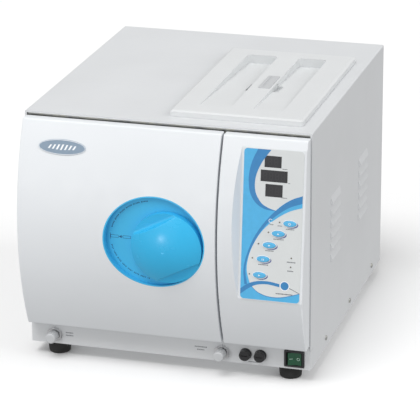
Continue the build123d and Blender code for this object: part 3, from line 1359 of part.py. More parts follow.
with BuildPart() as chamber_insulation:
    with BuildSketch(facing(CHAMBER_END_Y - DISH_END - 10.0)):
        with Locations((CHAMBER_X, CHAMBER_Z)):
            Circle(INSULATION_R)
            Circle(JACKET_R + 3.0, mode=Mode.SUBTRACT)
    extrude(amount=CHAMBER_END_Y - DISH_END - 10.0 - FRAME_Y - FRAME_T - 6.0)
    # Cut-outs round the two ports.
    with BuildSketch(Plane.XY.offset(CHAMBER_Z - 2 * CHAMBER_R)):
        with Locations((CHAMBER_X, PORTS_Y)):
            Circle(PORT_R + 3.0)
    extrude(amount=4 * CHAMBER_R, mode=Mode.SUBTRACT)

RACK_Y0 = FLANGE_Y + 22.0
RACK_Y1 = FLANGE_Y + 335.0
RACK_HALF_W = 86.0
RACK_HALF_H = 66.0
SHELF_Z = (-62.0, -12.0, 38.0)
SHEET_RACK = 1.2
RUNNER_X = 46.0
RUNNER_LOW = -114.5

with BuildPart() as tray_rack:
    for side in (-1, 1):
        # Side cheek with one inward ledge for each tray.
        with BuildSketch(facing(RACK_Y1)):
            with Locations((CHAMBER_X + side * RACK_HALF_W, CHAMBER_Z)):
                Rectangle(SHEET_RACK, 2 * RACK_HALF_H)
            for level in SHELF_Z:
                with Locations((CHAMBER_X + side * (RACK_HALF_W - 5.0), CHAMBER_Z + level)):
                    Rectangle(10.0 + SHEET_RACK, SHEET_RACK)
            with Locations((CHAMBER_X + side * (RACK_HALF_W - 5.0), CHAMBER_Z + RACK_HALF_H)):
                Rectangle(10.0 + SHEET_RACK, SHEET_RACK)
            # Runner that stands on the chamber's floor.
            with Locations((CHAMBER_X + side * RUNNER_X, CHAMBER_Z + (RUNNER_LOW - RACK_HALF_H) / 2)):
                Rectangle(SHEET_RACK, -RACK_HALF_H - RUNNER_LOW)
        extrude(amount=RACK_Y1 - RACK_Y0)
        # Windows in the cheek.
        with BuildSketch(Plane.YZ.offset(CHAMBER_X + side * RACK_HALF_W - 3.0)):
            for level in SHELF_Z:
                with Locations(((RACK_Y0 + RACK_Y1) / 2, CHAMBER_Z + level + 22.0)):
                    with GridLocations(70.0, 0, 4, 1):
                        RectangleRounded(50.0, 26.0, 5.0)
        extrude(amount=6.0, mode=Mode.SUBTRACT)
    # Cross straps at the bottom.
    for y in (RACK_Y0 + 10.0, (RACK_Y0 + RACK_Y1) / 2, RACK_Y1 - 10.0):
        with BuildSketch(Plane.XY.offset(CHAMBER_Z - RACK_HALF_H)):
            with Locations((CHAMBER_X, y)):
                Rectangle(2 * RACK_HALF_W + SHEET_RACK, 18.0)
        extrude(amount=SHEET_RACK)

TRAY_W = 2 * RACK_HALF_W - 6.0
TRAY_H = 18.0
TRAY_L = RACK_Y1 - RACK_Y0 - 10.0
TRAY_MID = (CHAMBER_X, (RACK_Y0 + RACK_Y1) / 2)

with BuildPart() as sterilising_trays:
    for level in SHELF_Z:
        floor_z = CHAMBER_Z + level + SHEET_RACK / 2 + 0.3
        with BuildSketch(Plane.XY.offset(floor_z)):
            with Locations(TRAY_MID):
                RectangleRounded(TRAY_W, TRAY_L, 12.0)
        extrude(amount=TRAY_H)
        with BuildSketch(Plane.XY.offset(floor_z + 1.0)):
            with Locations(TRAY_MID):
                RectangleRounded(TRAY_W - 2.0, TRAY_L - 2.0, 11.0)
        extrude(amount=TRAY_H, mode=Mode.SUBTRACT)
        with BuildSketch(Plane.XY.offset(floor_z - 1.0)):
            with Locations(TRAY_MID):
                with GridLocations(24.0, 24.0, 6, 11):
                    Circle(4.0)
        extrude(amount=4.0, mode=Mode.SUBTRACT)

# ---------------------------------------------------------------- services
VALVE_IN_Y = REAR_Y - 46.0

with BuildPart() as safety_valve:
    # Brass relief valve that looks out of the rear panel, with its pull ring.
    with BuildSketch(facing(REAR_Y + 12.0)):
        with Locations((VALVE_X, VALVE_Z)):
            Circle(7.0)
    extrude(amount=58.0)
    with BuildSketch(facing(REAR_Y - SHEET - 4.0)):
        with Locations((VALVE_X, VALVE_Z)):
            RegularPolygon(11.0, 6, major_radius=False)
    extrude(amount=10.0)
    with BuildSketch(Plane.YZ.offset(VALVE_X - 1.25)):
        with Locations((REAR_Y + 8.0, VALVE_Z)):
            Circle(5.5)
            Circle(3.0, mode=Mode.SUBTRACT)
    extrude(amount=2.5)

SPIGOT_END_Y = BACK_Y + REAR_REACH

with BuildPart() as hose_spigots:
    for x in SPIGOT_X:
        with BuildSketch(Plane.XY.offset(SPIGOT_Z)):
            with BuildLine():
                Polyline(
                    (x, SPIGOT_END_Y),
                    (x + SPIGOT_R, SPIGOT_END_Y),
                    (x + SPIGOT_R, REAR_Y + 3.0),
                    (x + 7.5, REAR_Y + 3.0),
                    (x + 7.5, REAR_Y),
                    (x + 4.6, REAR_Y),
                    (x + 4.6, REAR_Y - 16.0),
                    (x, REAR_Y - 16.0),
                    (x, SPIGOT_END_Y),
                )
            make_face()
        revolve(axis=along_y(x, SPIGOT_Z))
    with BuildSketch(facing(REAR_Y + 16.0)):
        with Locations([(x, SPIGOT_Z) for x in SPIGOT_X]):
            Circle(2.4)
    extrude(amount=40.0, mode=Mode.SUBTRACT)

with BuildPart() as mains_inlet:
    with BuildSketch(facing(REAR_Y)):
        with Locations((INLET_X, INLET_Z)):
            RectangleRounded(INLET_W, INLET_H, 3)
    extrude(amount=22.0)
    with BuildSketch(facing(REAR_Y + 2.5)):
        with Locations((INLET_X, INLET_Z)):
            RectangleRounded(48.0, 24.0, 5)
    extrude(amount=2.5)
    with BuildSketch(facing(REAR_Y + 3.0)):
        with Locations((INLET_X, INLET_Z)):
            RectangleRounded(INLET_W - 4.0, INLET_H - 4.0, 2)
    extrude(amount=19.0, mode=Mode.SUBTRACT)
    # Three flat contact blades.
    with BuildSketch(facing(REAR_Y - 1.0)):
        with Locations((INLET_X, INLET_Z + 2.5)):
            Rectangle(1.8, 4.5)
        with Locations((INLET_X - 7.0, INLET_Z - 2.0), (INLET_X + 7.0, INLET_Z - 2.0)):
            Rectangle(1.8, 4.5)
    extrude(amount=17.0)

PUMP_X = 170.0
PUMP_Y = 110.0
with BuildPart() as water_pump:
    with BuildSketch(Plane.XY.offset(BASE_Z + SHEET)):
        with Locations((PUMP_X, PUMP_Y)):
            RectangleRounded(50.0, 70.0, 4)
    extrude(amount=12.0)
    with BuildSketch(facing(PUMP_Y + 34.0)):
        with Locations((PUMP_X, BASE_Z + 34.0)):
            Circle(22.0)
    extrude(amount=46.0)
    with BuildSketch(facing(PUMP_Y - 12.0)):
        with Locations((PUMP_X, BASE_Z + 34.0)):
            RectangleRounded(40.0, 40.0, 5)
    extrude(amount=22.0)
    with BuildSketch(Plane.XY.offset(BASE_Z + 52.0)):
        with Locations((PUMP_X - 10.0, PUMP_Y - 22.0), (PUMP_X + 10.0, PUMP_Y - 22.0)):
            Circle(4.0)
    extrude(amount=16.0)

VACUUM_X = 160.0
VACUUM_Y = 0.0
with BuildPart() as vacuum_pump:
    with BuildSketch(Plane.XY.offset(BASE_Z + SHEET)):
        with Locations((VACUUM_X, VACUUM_Y)):
            RectangleRounded(90.0, 90.0, 6)
    extrude(amount=9.0)
    with BuildSketch(Plane.YZ.offset(VACUUM_X - 34.0)):
        with Locations((VACUUM_Y, BASE_Z + 45.0)):
            Circle(38.5)
    extrude(amount=68.0)
    for side in (-1, 1):
        with BuildSketch(Plane.XY.offset(BASE_Z + 76.0)):
            with Locations((VACUUM_X + side * 20.0, VACUUM_Y)):
                RectangleRounded(30.0, 44.0, 4)
        extrude(amount=22.0)

TRANSFORMER_X = 165.0
TRANSFORMER_Y = -115.0
with BuildPart() as mains_transformer:
    with BuildSketch(Plane.XY.offset(BASE_Z + SHEET)):
        with Locations((TRANSFORMER_X, TRANSFORMER_Y)):
            Rectangle(84.0, 70.0)
    extrude(amount=3.0)
    with BuildSketch(Plane.XY.offset(BASE_Z + SHEET + 3.0)):
        with Locations((TRANSFORMER_X, TRANSFORMER_Y)):
            Rectangle(66.0, 34.0)
    extrude(amount=56.0)
    with BuildSketch(Plane.XY.offset(BASE_Z + SHEET + 14.0)):
        with Locations((TRANSFORMER_X, TRANSFORMER_Y)):
            RectangleRounded(44.0, 60.0, 8)
    extrude(amount=34.0)

VALVES_Y = 215.0
with BuildPart() as solenoid_valves:
    # Brass manifold with three coils.
    with BuildSketch(Plane.XY.offset(BASE_Z + SHEET)):
        with Locations((20.0, VALVES_Y)):
            Rectangle(120.0, 34.0)
    extrude(amount=24.0)
    for i in (-1, 0, 1):
        with BuildSketch(Plane.XY.offset(BASE_Z + SHEET + 24.0)):
            with Locations((20.0 + 40.0 * i, VALVES_Y)):
                Circle(7.0)
        extrude(amount=42.0)
        with BuildSketch(Plane.XY.offset(BASE_Z + SHEET + 28.0)):
            with Locations((20.0 + 40.0 * i, VALVES_Y)):
                RectangleRounded(30.0, 30.0, 3)
        extrude(amount=32.0)

PIPE_R = 4.0
PORT_LOW_Z = CHAMBER_Z - CHAMBER_R - 27.0  # end of the bottom port
PORT_TOP_Z = CHAMBER_Z + CHAMBER_R + 18.5
MANIFOLD_X0 = -41.0
DRAIN_LINE_Z = BASE_Z + 14.0
RELIEF_LINE_Z = CHAMBER_Z + CHAMBER_R + 40.0

with BuildPart() as steam_pipes:
    # Drain line from the chamber's bottom port to the valve manifold.
    with BuildLine() as drain_route:
        FilletPolyline(
            (CHAMBER_X, PORTS_Y, PORT_LOW_Z),
            (CHAMBER_X, PORTS_Y, DRAIN_LINE_Z),
            (CHAMBER_X, VALVES_Y, DRAIN_LINE_Z),
            (MANIFOLD_X0, VALVES_Y, DRAIN_LINE_Z),
            radius=[12.0, 12.0],
        )
    with BuildSketch(Plane(origin=(CHAMBER_X, PORTS_Y, PORT_LOW_Z), z_dir=(0, 0, -1))):
        Circle(PIPE_R)
    sweep(path=drain_route.line)
    # Relief line from the top port back to the safety valve.
    with BuildLine() as relief_route:
        FilletPolyline(
            (CHAMBER_X, PORTS_Y, PORT_TOP_Z),
            (CHAMBER_X, PORTS_Y, RELIEF_LINE_Z),
            (CHAMBER_X, PORTS_Y + 70.0, RELIEF_LINE_Z),
            (CHAMBER_X, PORTS_Y + 70.0, VALVE_Z),
            (CHAMBER_X, VALVE_IN_Y - 0.5, VALVE_Z),
            radius=[10.0, 16.0, 16.0],
        )
    with BuildSketch(Plane.XY.offset(PORT_TOP_Z)):
        with Locations((CHAMBER_X, PORTS_Y)):
            Circle(PIPE_R)
    sweep(path=relief_route.line)

# ---------------------------------------------------------------- screws of the casing
SCREW_HEAD_R = 4.0
SCREW_HEAD_H = 2.0
CROSS_L = 4.2
CROSS_W = 0.9
HINGE_SCREWS = [(-218.5, z + dz) for z in HINGE_Z for dz in (-12.0, 12.0)]
KEEPER_SCREWS = [(KEEPER_X + 12.0, z + dz) for z in BOLT_Z for dz in (-7.0, 7.0)]


def screws(seat, places, head_r, shank_r, shank_l):
    """Cross-head screws on a plane whose normal points out of the seat."""
    with BuildPart() as group:
        with BuildSketch(seat):
            with Locations(places):
                Circle(head_r)
        extrude(amount=SCREW_HEAD_H)
        rims = group.edges().filter_by(GeomType.CIRCLE)
        fillet(rims.group_by(Axis(seat.origin, seat.z_dir))[-1], 1.2)
        with BuildSketch(seat.offset(SCREW_HEAD_H - 0.8)):
            with Locations(places):
                Rectangle(CROSS_L, CROSS_W)
                Rectangle(CROSS_W, CROSS_L)
        extrude(amount=1.0, mode=Mode.SUBTRACT)
        with BuildSketch(seat):
            with Locations(places):
                Circle(shank_r)
        extrude(amount=-shank_l)
    return group.part


side_seat = Plane.YZ.offset(CASE_W / 2)
side_screws = screws(side_seat, [(y, SCREW_Z) for y in SCREW_Y], SCREW_HEAD_R, 1.7, 8.0)
rear_seat = Plane(origin=(0, REAR_Y, 0), x_dir=(1, 0, 0), z_dir=(0, 1, 0))
rear_places = [(x, -BASE_Z - z) for x, z in REAR_SCREW_PLACES]
rear_screws = screws(rear_seat, rear_places, SCREW_HEAD_R, 1.7, 6.0)
frame_screws = screws(facing(FRAME_Y - 3.0), HINGE_SCREWS + KEEPER_SCREWS, 3.2, 1.6, 3.0)

with BuildPart() as machine_screws:
    add(side_screws)
    mirror(about=Plane.YZ)
    add(rear_screws)
    add(frame_screws)
    add(foot_screws.part)

# ---------------------------------------------------------------- write every sub-part
pieces = {
    "casing_cover": casing_cover,
    "machine_screws": machine_screws,
    "base_tray": base_tray,
    "rubber_feet": rubber_feet,
    "bulkhead": bulkhead,
    "rear_panel": rear_panel,
    "fan_frame": fan_frame,
    "fan_rotor": fan_rotor,
    "door_cover": door_cover,
    "door_badge": door_badge,
    "knob_escutcheon": knob_escutcheon,
    "door_knob": door_knob,
    "knob_spindle": knob_spindle,
    "spindle_bush": spindle_bush,
    "lock_pinion": lock_pinion,
    "bolt_carriage": bolt_carriage,
    "bolt_guides": bolt_guides,
    "bolt_keepers": bolt_keepers,
    "bridge_plate": bridge_plate,
    "pressure_plate": pressure_plate,
    "door_gasket": door_gasket,
    "door_switch": door_switch,
    "hinge_brackets": hinge_brackets,
    "hinge_pins": hinge_pins,
    "hinge_leaves": hinge_leaves,
    "control_cover": control_cover,
    "membrane": membrane,
    "display_windows": display_windows,
    "indicator_lamps": indicator_lamps,
    "control_board": control_board,
    "drain_valves": drain_valves,
    "fuse_holders": fuse_holders,
    "switch_bezel": switch_bezel,
    "switch_rocker": switch_rocker,
    "tank_lid": tank_lid,
    "lid_grip": lid_grip,
    "water_tank": water_tank,
    "chamber": chamber,
    "flange_bolts": flange_bolts,
    "band_heaters": band_heaters,
    "chamber_insulation": chamber_insulation,
    "tray_rack": tray_rack,
    "sterilising_trays": sterilising_trays,
    "safety_valve": safety_valve,
    "hose_spigots": hose_spigots,
    "mains_inlet": mains_inlet,
    "water_pump": water_pump,
    "vacuum_pump": vacuum_pump,
    "mains_transformer": mains_transformer,
    "solenoid_valves": solenoid_valves,
    "steam_pipes": steam_pipes,
}
pieces |= key_parts | drain_caps | fuse_caps

for name, piece in pieces.items():
    piece.part.label = name
    export_step(piece.part, f"parts/{name}.step")
print(len(pieces), "sub-parts")
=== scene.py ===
"""Looks of a benchtop autoclave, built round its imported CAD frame. Metres, X right, Y back, Z up."""

import json
import math

import bpy
from mathutils import Matrix, Vector
from mathutils.geometry import tessellate_polygon


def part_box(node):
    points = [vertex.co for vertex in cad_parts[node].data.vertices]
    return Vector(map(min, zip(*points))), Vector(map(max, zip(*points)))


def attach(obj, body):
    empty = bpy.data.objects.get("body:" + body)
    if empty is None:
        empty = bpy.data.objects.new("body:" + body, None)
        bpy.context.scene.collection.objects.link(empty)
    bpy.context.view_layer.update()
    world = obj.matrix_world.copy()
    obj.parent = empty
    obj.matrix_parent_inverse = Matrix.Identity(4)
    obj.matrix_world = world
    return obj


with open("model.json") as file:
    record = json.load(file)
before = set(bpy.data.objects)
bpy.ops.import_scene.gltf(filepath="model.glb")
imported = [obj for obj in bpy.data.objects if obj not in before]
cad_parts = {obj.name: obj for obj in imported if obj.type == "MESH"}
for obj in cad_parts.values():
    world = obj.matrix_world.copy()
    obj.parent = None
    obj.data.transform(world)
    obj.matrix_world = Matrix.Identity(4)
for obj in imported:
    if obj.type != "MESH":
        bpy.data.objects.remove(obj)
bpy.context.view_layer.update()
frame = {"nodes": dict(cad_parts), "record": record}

MM = 0.001
PRINT_T = 0.10  # thickness of printed marks, in millimetres
PRINT_SINK = 0.04  # how far a mark is let into what it is printed on
BENCH_TO_BASE = 22.0  # the casing's bottom edge above the bench


# ---------------------------------------------------------------- materials
PLASTIC_IOR = 1.46
COAT_ROUGHNESS = 0.12


def srgb(red, green, blue):
    """Linear colour of an 8-bit display colour."""
    def linear(value):
        value /= 255
        return value / 12.92 if value <= 0.04045 else ((value + 0.055) / 1.055) ** 2.4
    return (linear(red), linear(green), linear(blue), 1.0)


class Surface:
    """A Principled material whose textures are laid out in the row frame."""

    def __init__(self, name, roughness, metallic=0.0, coat=0.0):
        self.material = bpy.data.materials.new(name)
        self.material.use_nodes = True
        self.nodes = self.material.node_tree.nodes
        self.links = self.material.node_tree.links
        self.shader = self.nodes["Principled BSDF"]
        self.shader.inputs["Roughness"].default_value = roughness
        self.shader.inputs["Metallic"].default_value = metallic
        self.shader.inputs["Coat Weight"].default_value = coat
        self.shader.inputs["Coat Roughness"].default_value = COAT_ROUGHNESS
        self.shader.inputs["IOR"].default_value = PLASTIC_IOR
        self.place = self.nodes.new("ShaderNodeTexCoord").outputs["Object"]
        self.relief = None

    def stretched(self, stretch):
        mapping = self.nodes.new("ShaderNodeMapping")
        mapping.inputs["Scale"].default_value = stretch
        self.links.new(self.place, mapping.inputs["Vector"])
        return mapping.outputs["Vector"]

    def noise(self, scale, detail=3.0, stretch=(1, 1, 1)):
        node = self.nodes.new("ShaderNodeTexNoise")
        node.inputs["Scale"].default_value = scale
        node.inputs["Detail"].default_value = detail
        self.links.new(self.stretched(stretch), node.inputs["Vector"])
        return node.outputs["Fac"]

    def cells(self, scale, feature="F1", output="Distance"):
        node = self.nodes.new("ShaderNodeTexVoronoi")
        node.feature = feature
        node.inputs["Scale"].default_value = scale
        self.links.new(self.place, node.inputs["Vector"])
        return node.outputs[output]

    def spread(self, value, low, high, centre=(0.35, 0.65)):
        """A number that follows a 0 to 1 texture between low and high."""
        node = self.nodes.new("ShaderNodeMapRange")
        node.inputs["From Min"].default_value = centre[0]
        node.inputs["From Max"].default_value = centre[1]
        node.inputs["To Min"].default_value = low
        node.inputs["To Max"].default_value = high
        self.links.new(value, node.inputs["Value"])
        return node.outputs["Result"]

    def mixed(self, value, first, second):
        """A colour between two others, given as colours or as sockets."""
        node = self.nodes.new("ShaderNodeMix")
        node.data_type = "RGBA"
        self.links.new(value, node.inputs["Factor"])
        for socket, colour in ((node.inputs["A"], first), (node.inputs["B"], second)):
            if isinstance(colour, bpy.types.NodeSocket):
                self.links.new(colour, socket)
            else:
                socket.default_value = colour
        return node.outputs["Result"]

    def colour(self, socket):
        self.links.new(socket, self.shader.inputs["Base Color"])

    def rough(self, value, low, high):
        self.links.new(self.spread(value, low, high), self.shader.inputs["Roughness"])

    def bump(self, height, depth, strength):
        """Adds relief of this depth in metres on top of any there already."""
        node = self.nodes.new("ShaderNodeBump")
        node.inputs["Strength"].default_value = strength
        node.inputs["Distance"].default_value = depth
        self.links.new(height, node.inputs["Height"])
        if self.relief is not None:
            self.links.new(self.relief, node.inputs["Normal"])
        self.relief = node.outputs["Normal"]
        self.links.new(self.relief, self.shader.inputs["Normal"])


def shade(colour, factor):
    """The colour made lighter or darker."""
    return tuple(min(1.0, channel * factor) for channel in colour[:3]) + (1.0,)


def mottled(surface, colour, change, scale):
    """Base colour that drifts a little lighter and darker."""
    drift = surface.spread(surface.noise(scale), 0.0, 1.0)
    surface.colour(surface.mixed(drift, shade(colour, 1 - change), shade(colour, 1 + change)))


def enamel(name, colour):
    """Powder coat: fine orange peel over a faint, patchy drift in colour and gloss."""
    surface = Surface(name, 0.42, coat=0.15)
    mottled(surface, colour, 0.02, 5.0)
    surface.rough(surface.noise(14.0, 5.0), 0.36, 0.52)
    surface.bump(surface.noise(650.0, 2.0), 0.00009, 0.5)
    surface.bump(surface.noise(2600.0, 1.0), 0.00003, 0.35)
    return surface.material


def moulded(name, colour, roughness, change, coat=0.0):
    """Injection-moulded plastic with a fine spark-eroded grain."""
    surface = Surface(name, roughness, coat=coat)
    mottled(surface, colour, change, 7.0)
    surface.rough(surface.noise(30.0, 4.0), roughness - 0.06, roughness + 0.07)
    surface.bump(surface.noise(2200.0, 2.0), 0.00004, 0.5)
    surface.bump(surface.noise(9.0, 1.0), 0.0006, 0.12)
    return surface.material


def printed_ink(name, colour, roughness=0.45):
    surface = Surface(name, roughness)
    mottled(surface, colour, 0.03, 120.0)
    surface.bump(surface.noise(3000.0, 1.0), 0.00002, 0.4)
    return surface.material


def film(name, colour):
    """Polyester overlay with a velvet texture."""
    surface = Surface(name, 0.46)
    mottled(surface, colour, 0.012, 16.0)
    surface.rough(surface.noise(40.0, 3.0), 0.42, 0.52)
    surface.bump(surface.cells(1800.0), 0.00003, 0.35)
    return surface.material


def smoked_window(name, colour):
    surface = Surface(name, 0.12, coat=0.4)
    mottled(surface, colour, 0.06, 30.0)
    surface.rough(surface.noise(25.0, 3.0), 0.09, 0.20)
    surface.bump(surface.noise(60.0, 1.0), 0.0002, 0.05)
    return surface.material


def lens(name, colour):
    surface = Surface(name, 0.18, coat=0.6)
    mottled(surface, colour, 0.10, 400.0)
    surface.bump(surface.cells(1500.0), 0.00005, 0.5)
    return surface.material


def rubber(name, colour):
    """Moulded rubber: dusty, matte, pitted."""
    surface = Surface(name, 0.75)
    dust = surface.spread(surface.noise(90.0, 6.0), 0.0, 1.0, (0.52, 0.78))
    surface.colour(surface.mixed(dust, colour, shade(colour, 2.1)))
    surface.rough(surface.noise(60.0, 4.0), 0.62, 0.88)
    surface.bump(surface.cells(1300.0), 0.00012, 0.5)
    return surface.material


def brushed(name, colour, stretch, roughness):
    """Sheet metal with its grain along the axis that has the small number in stretch."""
    surface = Surface(name, roughness, metallic=1.0)
    grain = surface.noise(900.0, 4.0, stretch)
    surface.colour(surface.mixed(surface.spread(grain, 0, 1), shade(colour, 0.90), shade(colour, 1.06)))
    surface.rough(grain, roughness - 0.08, roughness + 0.10)
    surface.bump(grain, 0.00004, 0.5)
    surface.bump(surface.noise(12.0, 2.0), 0.0004, 0.06)
    return surface.material


def zinc(name, colour):
    """Zinc plate: soft patches with a slightly yellow passivation."""
    surface = Surface(name, 0.38, metallic=1.0)
    patches = surface.spread(surface.cells(140.0, output="Color"), 0, 1, (0.1, 0.9))
    yellowish = (colour[0] * 1.06, colour[1] * 1.04, colour[2] * 0.92, 1)
    surface.colour(surface.mixed(patches, shade(colour, 0.88), yellowish))
    surface.rough(surface.noise(80.0, 4.0), 0.28, 0.48)
    surface.bump(surface.noise(1500.0, 3.0), 0.00004, 0.4)
    return surface.material


def turned(name, colour, roughness=0.26):
    """Turned or drawn metal with handling marks and a little tarnish."""
    surface = Surface(name, roughness, metallic=1.0)
    tarnish = surface.spread(surface.noise(45.0, 6.0), 0, 1, (0.45, 0.72))
    surface.colour(surface.mixed(tarnish, colour, shade(colour, 0.68)))
    surface.rough(surface.noise(70.0, 5.0), roughness - 0.06, roughness + 0.16)
    surface.bump(surface.noise(2200.0, 2.0), 0.00003, 0.4)
    return surface.material


def mineral_felt(name, colour):
    surface = Surface(name, 0.95)
    fibres = surface.noise(700.0, 8.0, (1, 0.12, 1))
    surface.colour(surface.mixed(surface.spread(fibres, 0, 1), shade(colour, 0.7), shade(colour, 1.15)))
    surface.bump(fibres, 0.0009, 0.8)
    surface.bump(surface.noise(60.0, 4.0), 0.003, 0.4)
    return surface.material


def circuit(name, colour):
    """Solder mask with paler copper runs under it."""
    surface = Surface(name, 0.32, coat=0.3)
    runs = surface.cells(170.0, "DISTANCE_TO_EDGE")
    run_mask = surface.spread(runs, 1.0, 0.0, (0.02, 0.06))
    surface.colour(surface.mixed(run_mask, colour, shade(colour, 1.9)))
    surface.bump(run_mask, 0.00006, 0.6)
    surface.bump(surface.noise(1500.0, 2.0), 0.00002, 0.4)
    return surface.material


def laminated(name, colour):
    """Stacked transformer sheets, varnished."""
    surface = Surface(name, 0.42, metallic=0.6)
    sheets = surface.noise(1200.0, 2.0, (0.02, 0.02, 1))
    surface.colour(surface.mixed(surface.spread(sheets, 0, 1), shade(colour, 0.6), shade(colour, 1.5)))
    surface.bump(sheets, 0.0003, 0.6)
    return surface.material


PAINT_WHITE = srgb(218, 220, 222)
COVER_WHITE = srgb(231, 234, 237)
LID_WHITE = srgb(221, 223, 224)
DISH_BLUE = srgb(70, 188, 234)
KNOB_BLUE = srgb(54, 182, 232)
FILM_WHITE = srgb(220, 223, 223)
INK_LIGHT = srgb(82, 180, 230)
INK_DARK = srgb(58, 134, 192)
INK_GREY = srgb(118, 120, 126)
STEEL = (0.62, 0.62, 0.63, 1)
ZINC = (0.56, 0.57, 0.58, 1)

SLOT_MATERIALS = {
    "casing_paint": enamel("casing_paint", PAINT_WHITE),
    "cover_white": moulded("cover_white", COVER_WHITE, 0.42, 0.012),
    "lid_white": moulded("lid_white", LID_WHITE, 0.40, 0.012),
    "dish_blue": moulded("dish_blue", DISH_BLUE, 0.46, 0.02),
    "knob_blue": moulded("knob_blue", KNOB_BLUE, 0.22, 0.02),
    "badge_blue": printed_ink("badge_blue", srgb(136, 154, 172), 0.35),
    "membrane_film": film("membrane_film", FILM_WHITE),
    "window_dark": smoked_window("window_dark", srgb(42, 42, 45)),
    "key_blue": moulded("key_blue", srgb(84, 182, 230), 0.34, 0.03, coat=0.2),
    "lamp": lens("lamp", srgb(110, 104, 92)),
    "circuit": circuit("circuit", (0.02, 0.11, 0.045, 1)),
    "black_rubber": rubber("black_rubber", (0.018, 0.018, 0.018, 1)),
    "black_plastic": moulded("black_plastic", (0.022, 0.022, 0.024, 1), 0.36, 0.15),
    "rocker_green": lens("rocker_green", (0.004, 0.085, 0.035, 1)),
    "grey_plastic": moulded("grey_plastic", srgb(196, 198, 200), 0.40, 0.03),
    "natural_plastic": moulded("natural_plastic", srgb(214, 218, 218), 0.45, 0.03),
    "zinc_steel": zinc("zinc_steel", ZINC),
    "stainless": brushed("stainless", STEEL, (1, 0.04, 1), 0.32),
    "stainless_bright": turned("stainless_bright", (0.72, 0.72, 0.73, 1), 0.22),
    "brass": turned("brass", (0.72, 0.50, 0.22, 1)),
    "copper_line": turned("copper_line", (0.76, 0.42, 0.27, 1), 0.24),
    "mineral_wool": mineral_felt("mineral_wool", (0.52, 0.47, 0.36, 1)),
    "silicone_seal": rubber("silicone_seal", (0.62, 0.58, 0.52, 1)),
    "iron_core": laminated("iron_core", (0.10, 0.09, 0.09, 1)),
}
INKS = {
    "light": printed_ink("ink_light", INK_LIGHT),
    "dark": printed_ink("ink_dark", INK_DARK),
    "grey": printed_ink("ink_grey", INK_GREY),
    "white": printed_ink("ink_white", srgb(246, 248, 250)),
    "navy": printed_ink("ink_navy", srgb(38, 92, 136)),
    # painted shadow: dark blue for the cast shadows of the keys on the membrane
    "shadow": printed_ink("ink_shadow", srgb(88, 98, 150)),
    "segment": printed_ink("ink_segment", srgb(52, 52, 55), 0.2),
    "legend": printed_ink("ink_legend", srgb(176, 206, 190)),
}

for part in frame["record"]["subparts"]:
    node = frame["nodes"][part["node"]]
    for material_slot in node.material_slots:
        material_slot.material = SLOT_MATERIALS[part["material_slot"]]


# ---------------------------------------------------------------- flat shapes, in millimetres
def ellipse(x, y, a, b, start=0.0, stop=360.0, steps=48):
    """Points on an ellipse between two angles in degrees; a whole one leaves out the last."""
    whole = abs(stop - start) >= 360
    points = []
    for i in range(steps if whole else steps + 1):
        angle = math.radians(start + (stop - start) * i / steps)
        points.append((x + a * math.cos(angle), y + b * math.sin(angle)))
    return points


def bar(x, y, width, height, turn=0.0):
    """Corners of a rectangle round a point, turned by an angle in degrees."""
    cosine, sine = math.cos(math.radians(turn)), math.sin(math.radians(turn))
    corners = []
    for u, v in ((-1, -1), (1, -1), (1, 1), (-1, 1)):
        u, v = u * width / 2, v * height / 2
        corners.append((x + u * cosine - v * sine, y + u * sine + v * cosine))
    return corners


def smooth(points, steps=8):
    """Catmull-Rom curve through a few points."""
    curve = []
    padded = [points[0], *points, points[-1]]
    for before, a, b, after in zip(padded, padded[1:], padded[2:], padded[3:]):
        for i in range(steps):
            t = i / steps
            point = []
            for p, q, r, s in zip(before, a, b, after):
                bend = (2 * p - 5 * q + 4 * r - s) * t * t + (3 * q - p - 3 * r + s) * t**3
                point.append(0.5 * (2 * q + (r - p) * t + bend))
            curve.append(tuple(point))
    return curve + [points[-1]]


def area(outline):
    return sum(a[0] * b[1] - b[0] * a[1] for a, b in zip(outline, outline[1:] + outline[:1])) / 2


def plate(name, shapes, place, thickness=PRINT_T):
    """Mesh of thin closed solids. A shape is a list of outlines, the holes after the first.
    place(x, y, height) puts a point of the flat drawing in the row frame, all in millimetres."""
    vertices, faces = [], []
    for shape in shapes:
        rings = []
        for i, ring in enumerate(shape):
            if (area(ring) > 0) == (i > 0):
                ring = ring[::-1]
            rings.append(ring)
        flat = [Vector((x, y, 0)) for ring in rings for x, y in ring]
        triangles = tessellate_polygon([[Vector((x, y, 0)) for x, y in ring] for ring in rings])
        first = len(vertices)
        count = len(flat)
        for height in (0.0, thickness):
            vertices += [Vector(place(p.x, p.y, height)) * MM for p in flat]
        for a, b, c in triangles:
            if (flat[b] - flat[a]).cross(flat[c] - flat[a]).z < 0:
                b, c = c, b
            faces.append((first + a, first + c, first + b))
            faces.append((first + count + a, first + count + b, first + count + c))
        start = first
        for ring in rings:
            for i in range(len(ring)):
                here, after = start + i, start + (i + 1) % len(ring)
                faces.append((here, after, count + after, count + here))
            start += len(ring)
    mesh = bpy.data.meshes.new(name)
    mesh.from_pydata(vertices, [], faces)
    mesh.update()
    return mesh


def piece(name, mesh, body, material):
    """Adds a mark that rides on a body and counts as part of a material slot."""
    item = bpy.data.objects.new(name, mesh)
    bpy.context.scene.collection.objects.link(item)
    mesh.materials.append(material)
    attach(item, body)


def text_row(x, y, length, height, seed=0):
    """A row of small bars the size of one line of small lettering, without being any."""
    widths = (1.5, 0.8, 1.2, 1.9, 0.9, 1.4)
    shapes = []
    at, i = x - length / 2, seed
    while at < x + length / 2 - 0.5:
        width = min(widths[i % len(widths)] * height / 1.7, x + length / 2 - at)
        shapes.append([bar(at + width / 2, y, width, height * (1.0 if i % 3 else 0.72))])
        at += width + 0.42 * height / 1.7
        i += 1
    return shapes


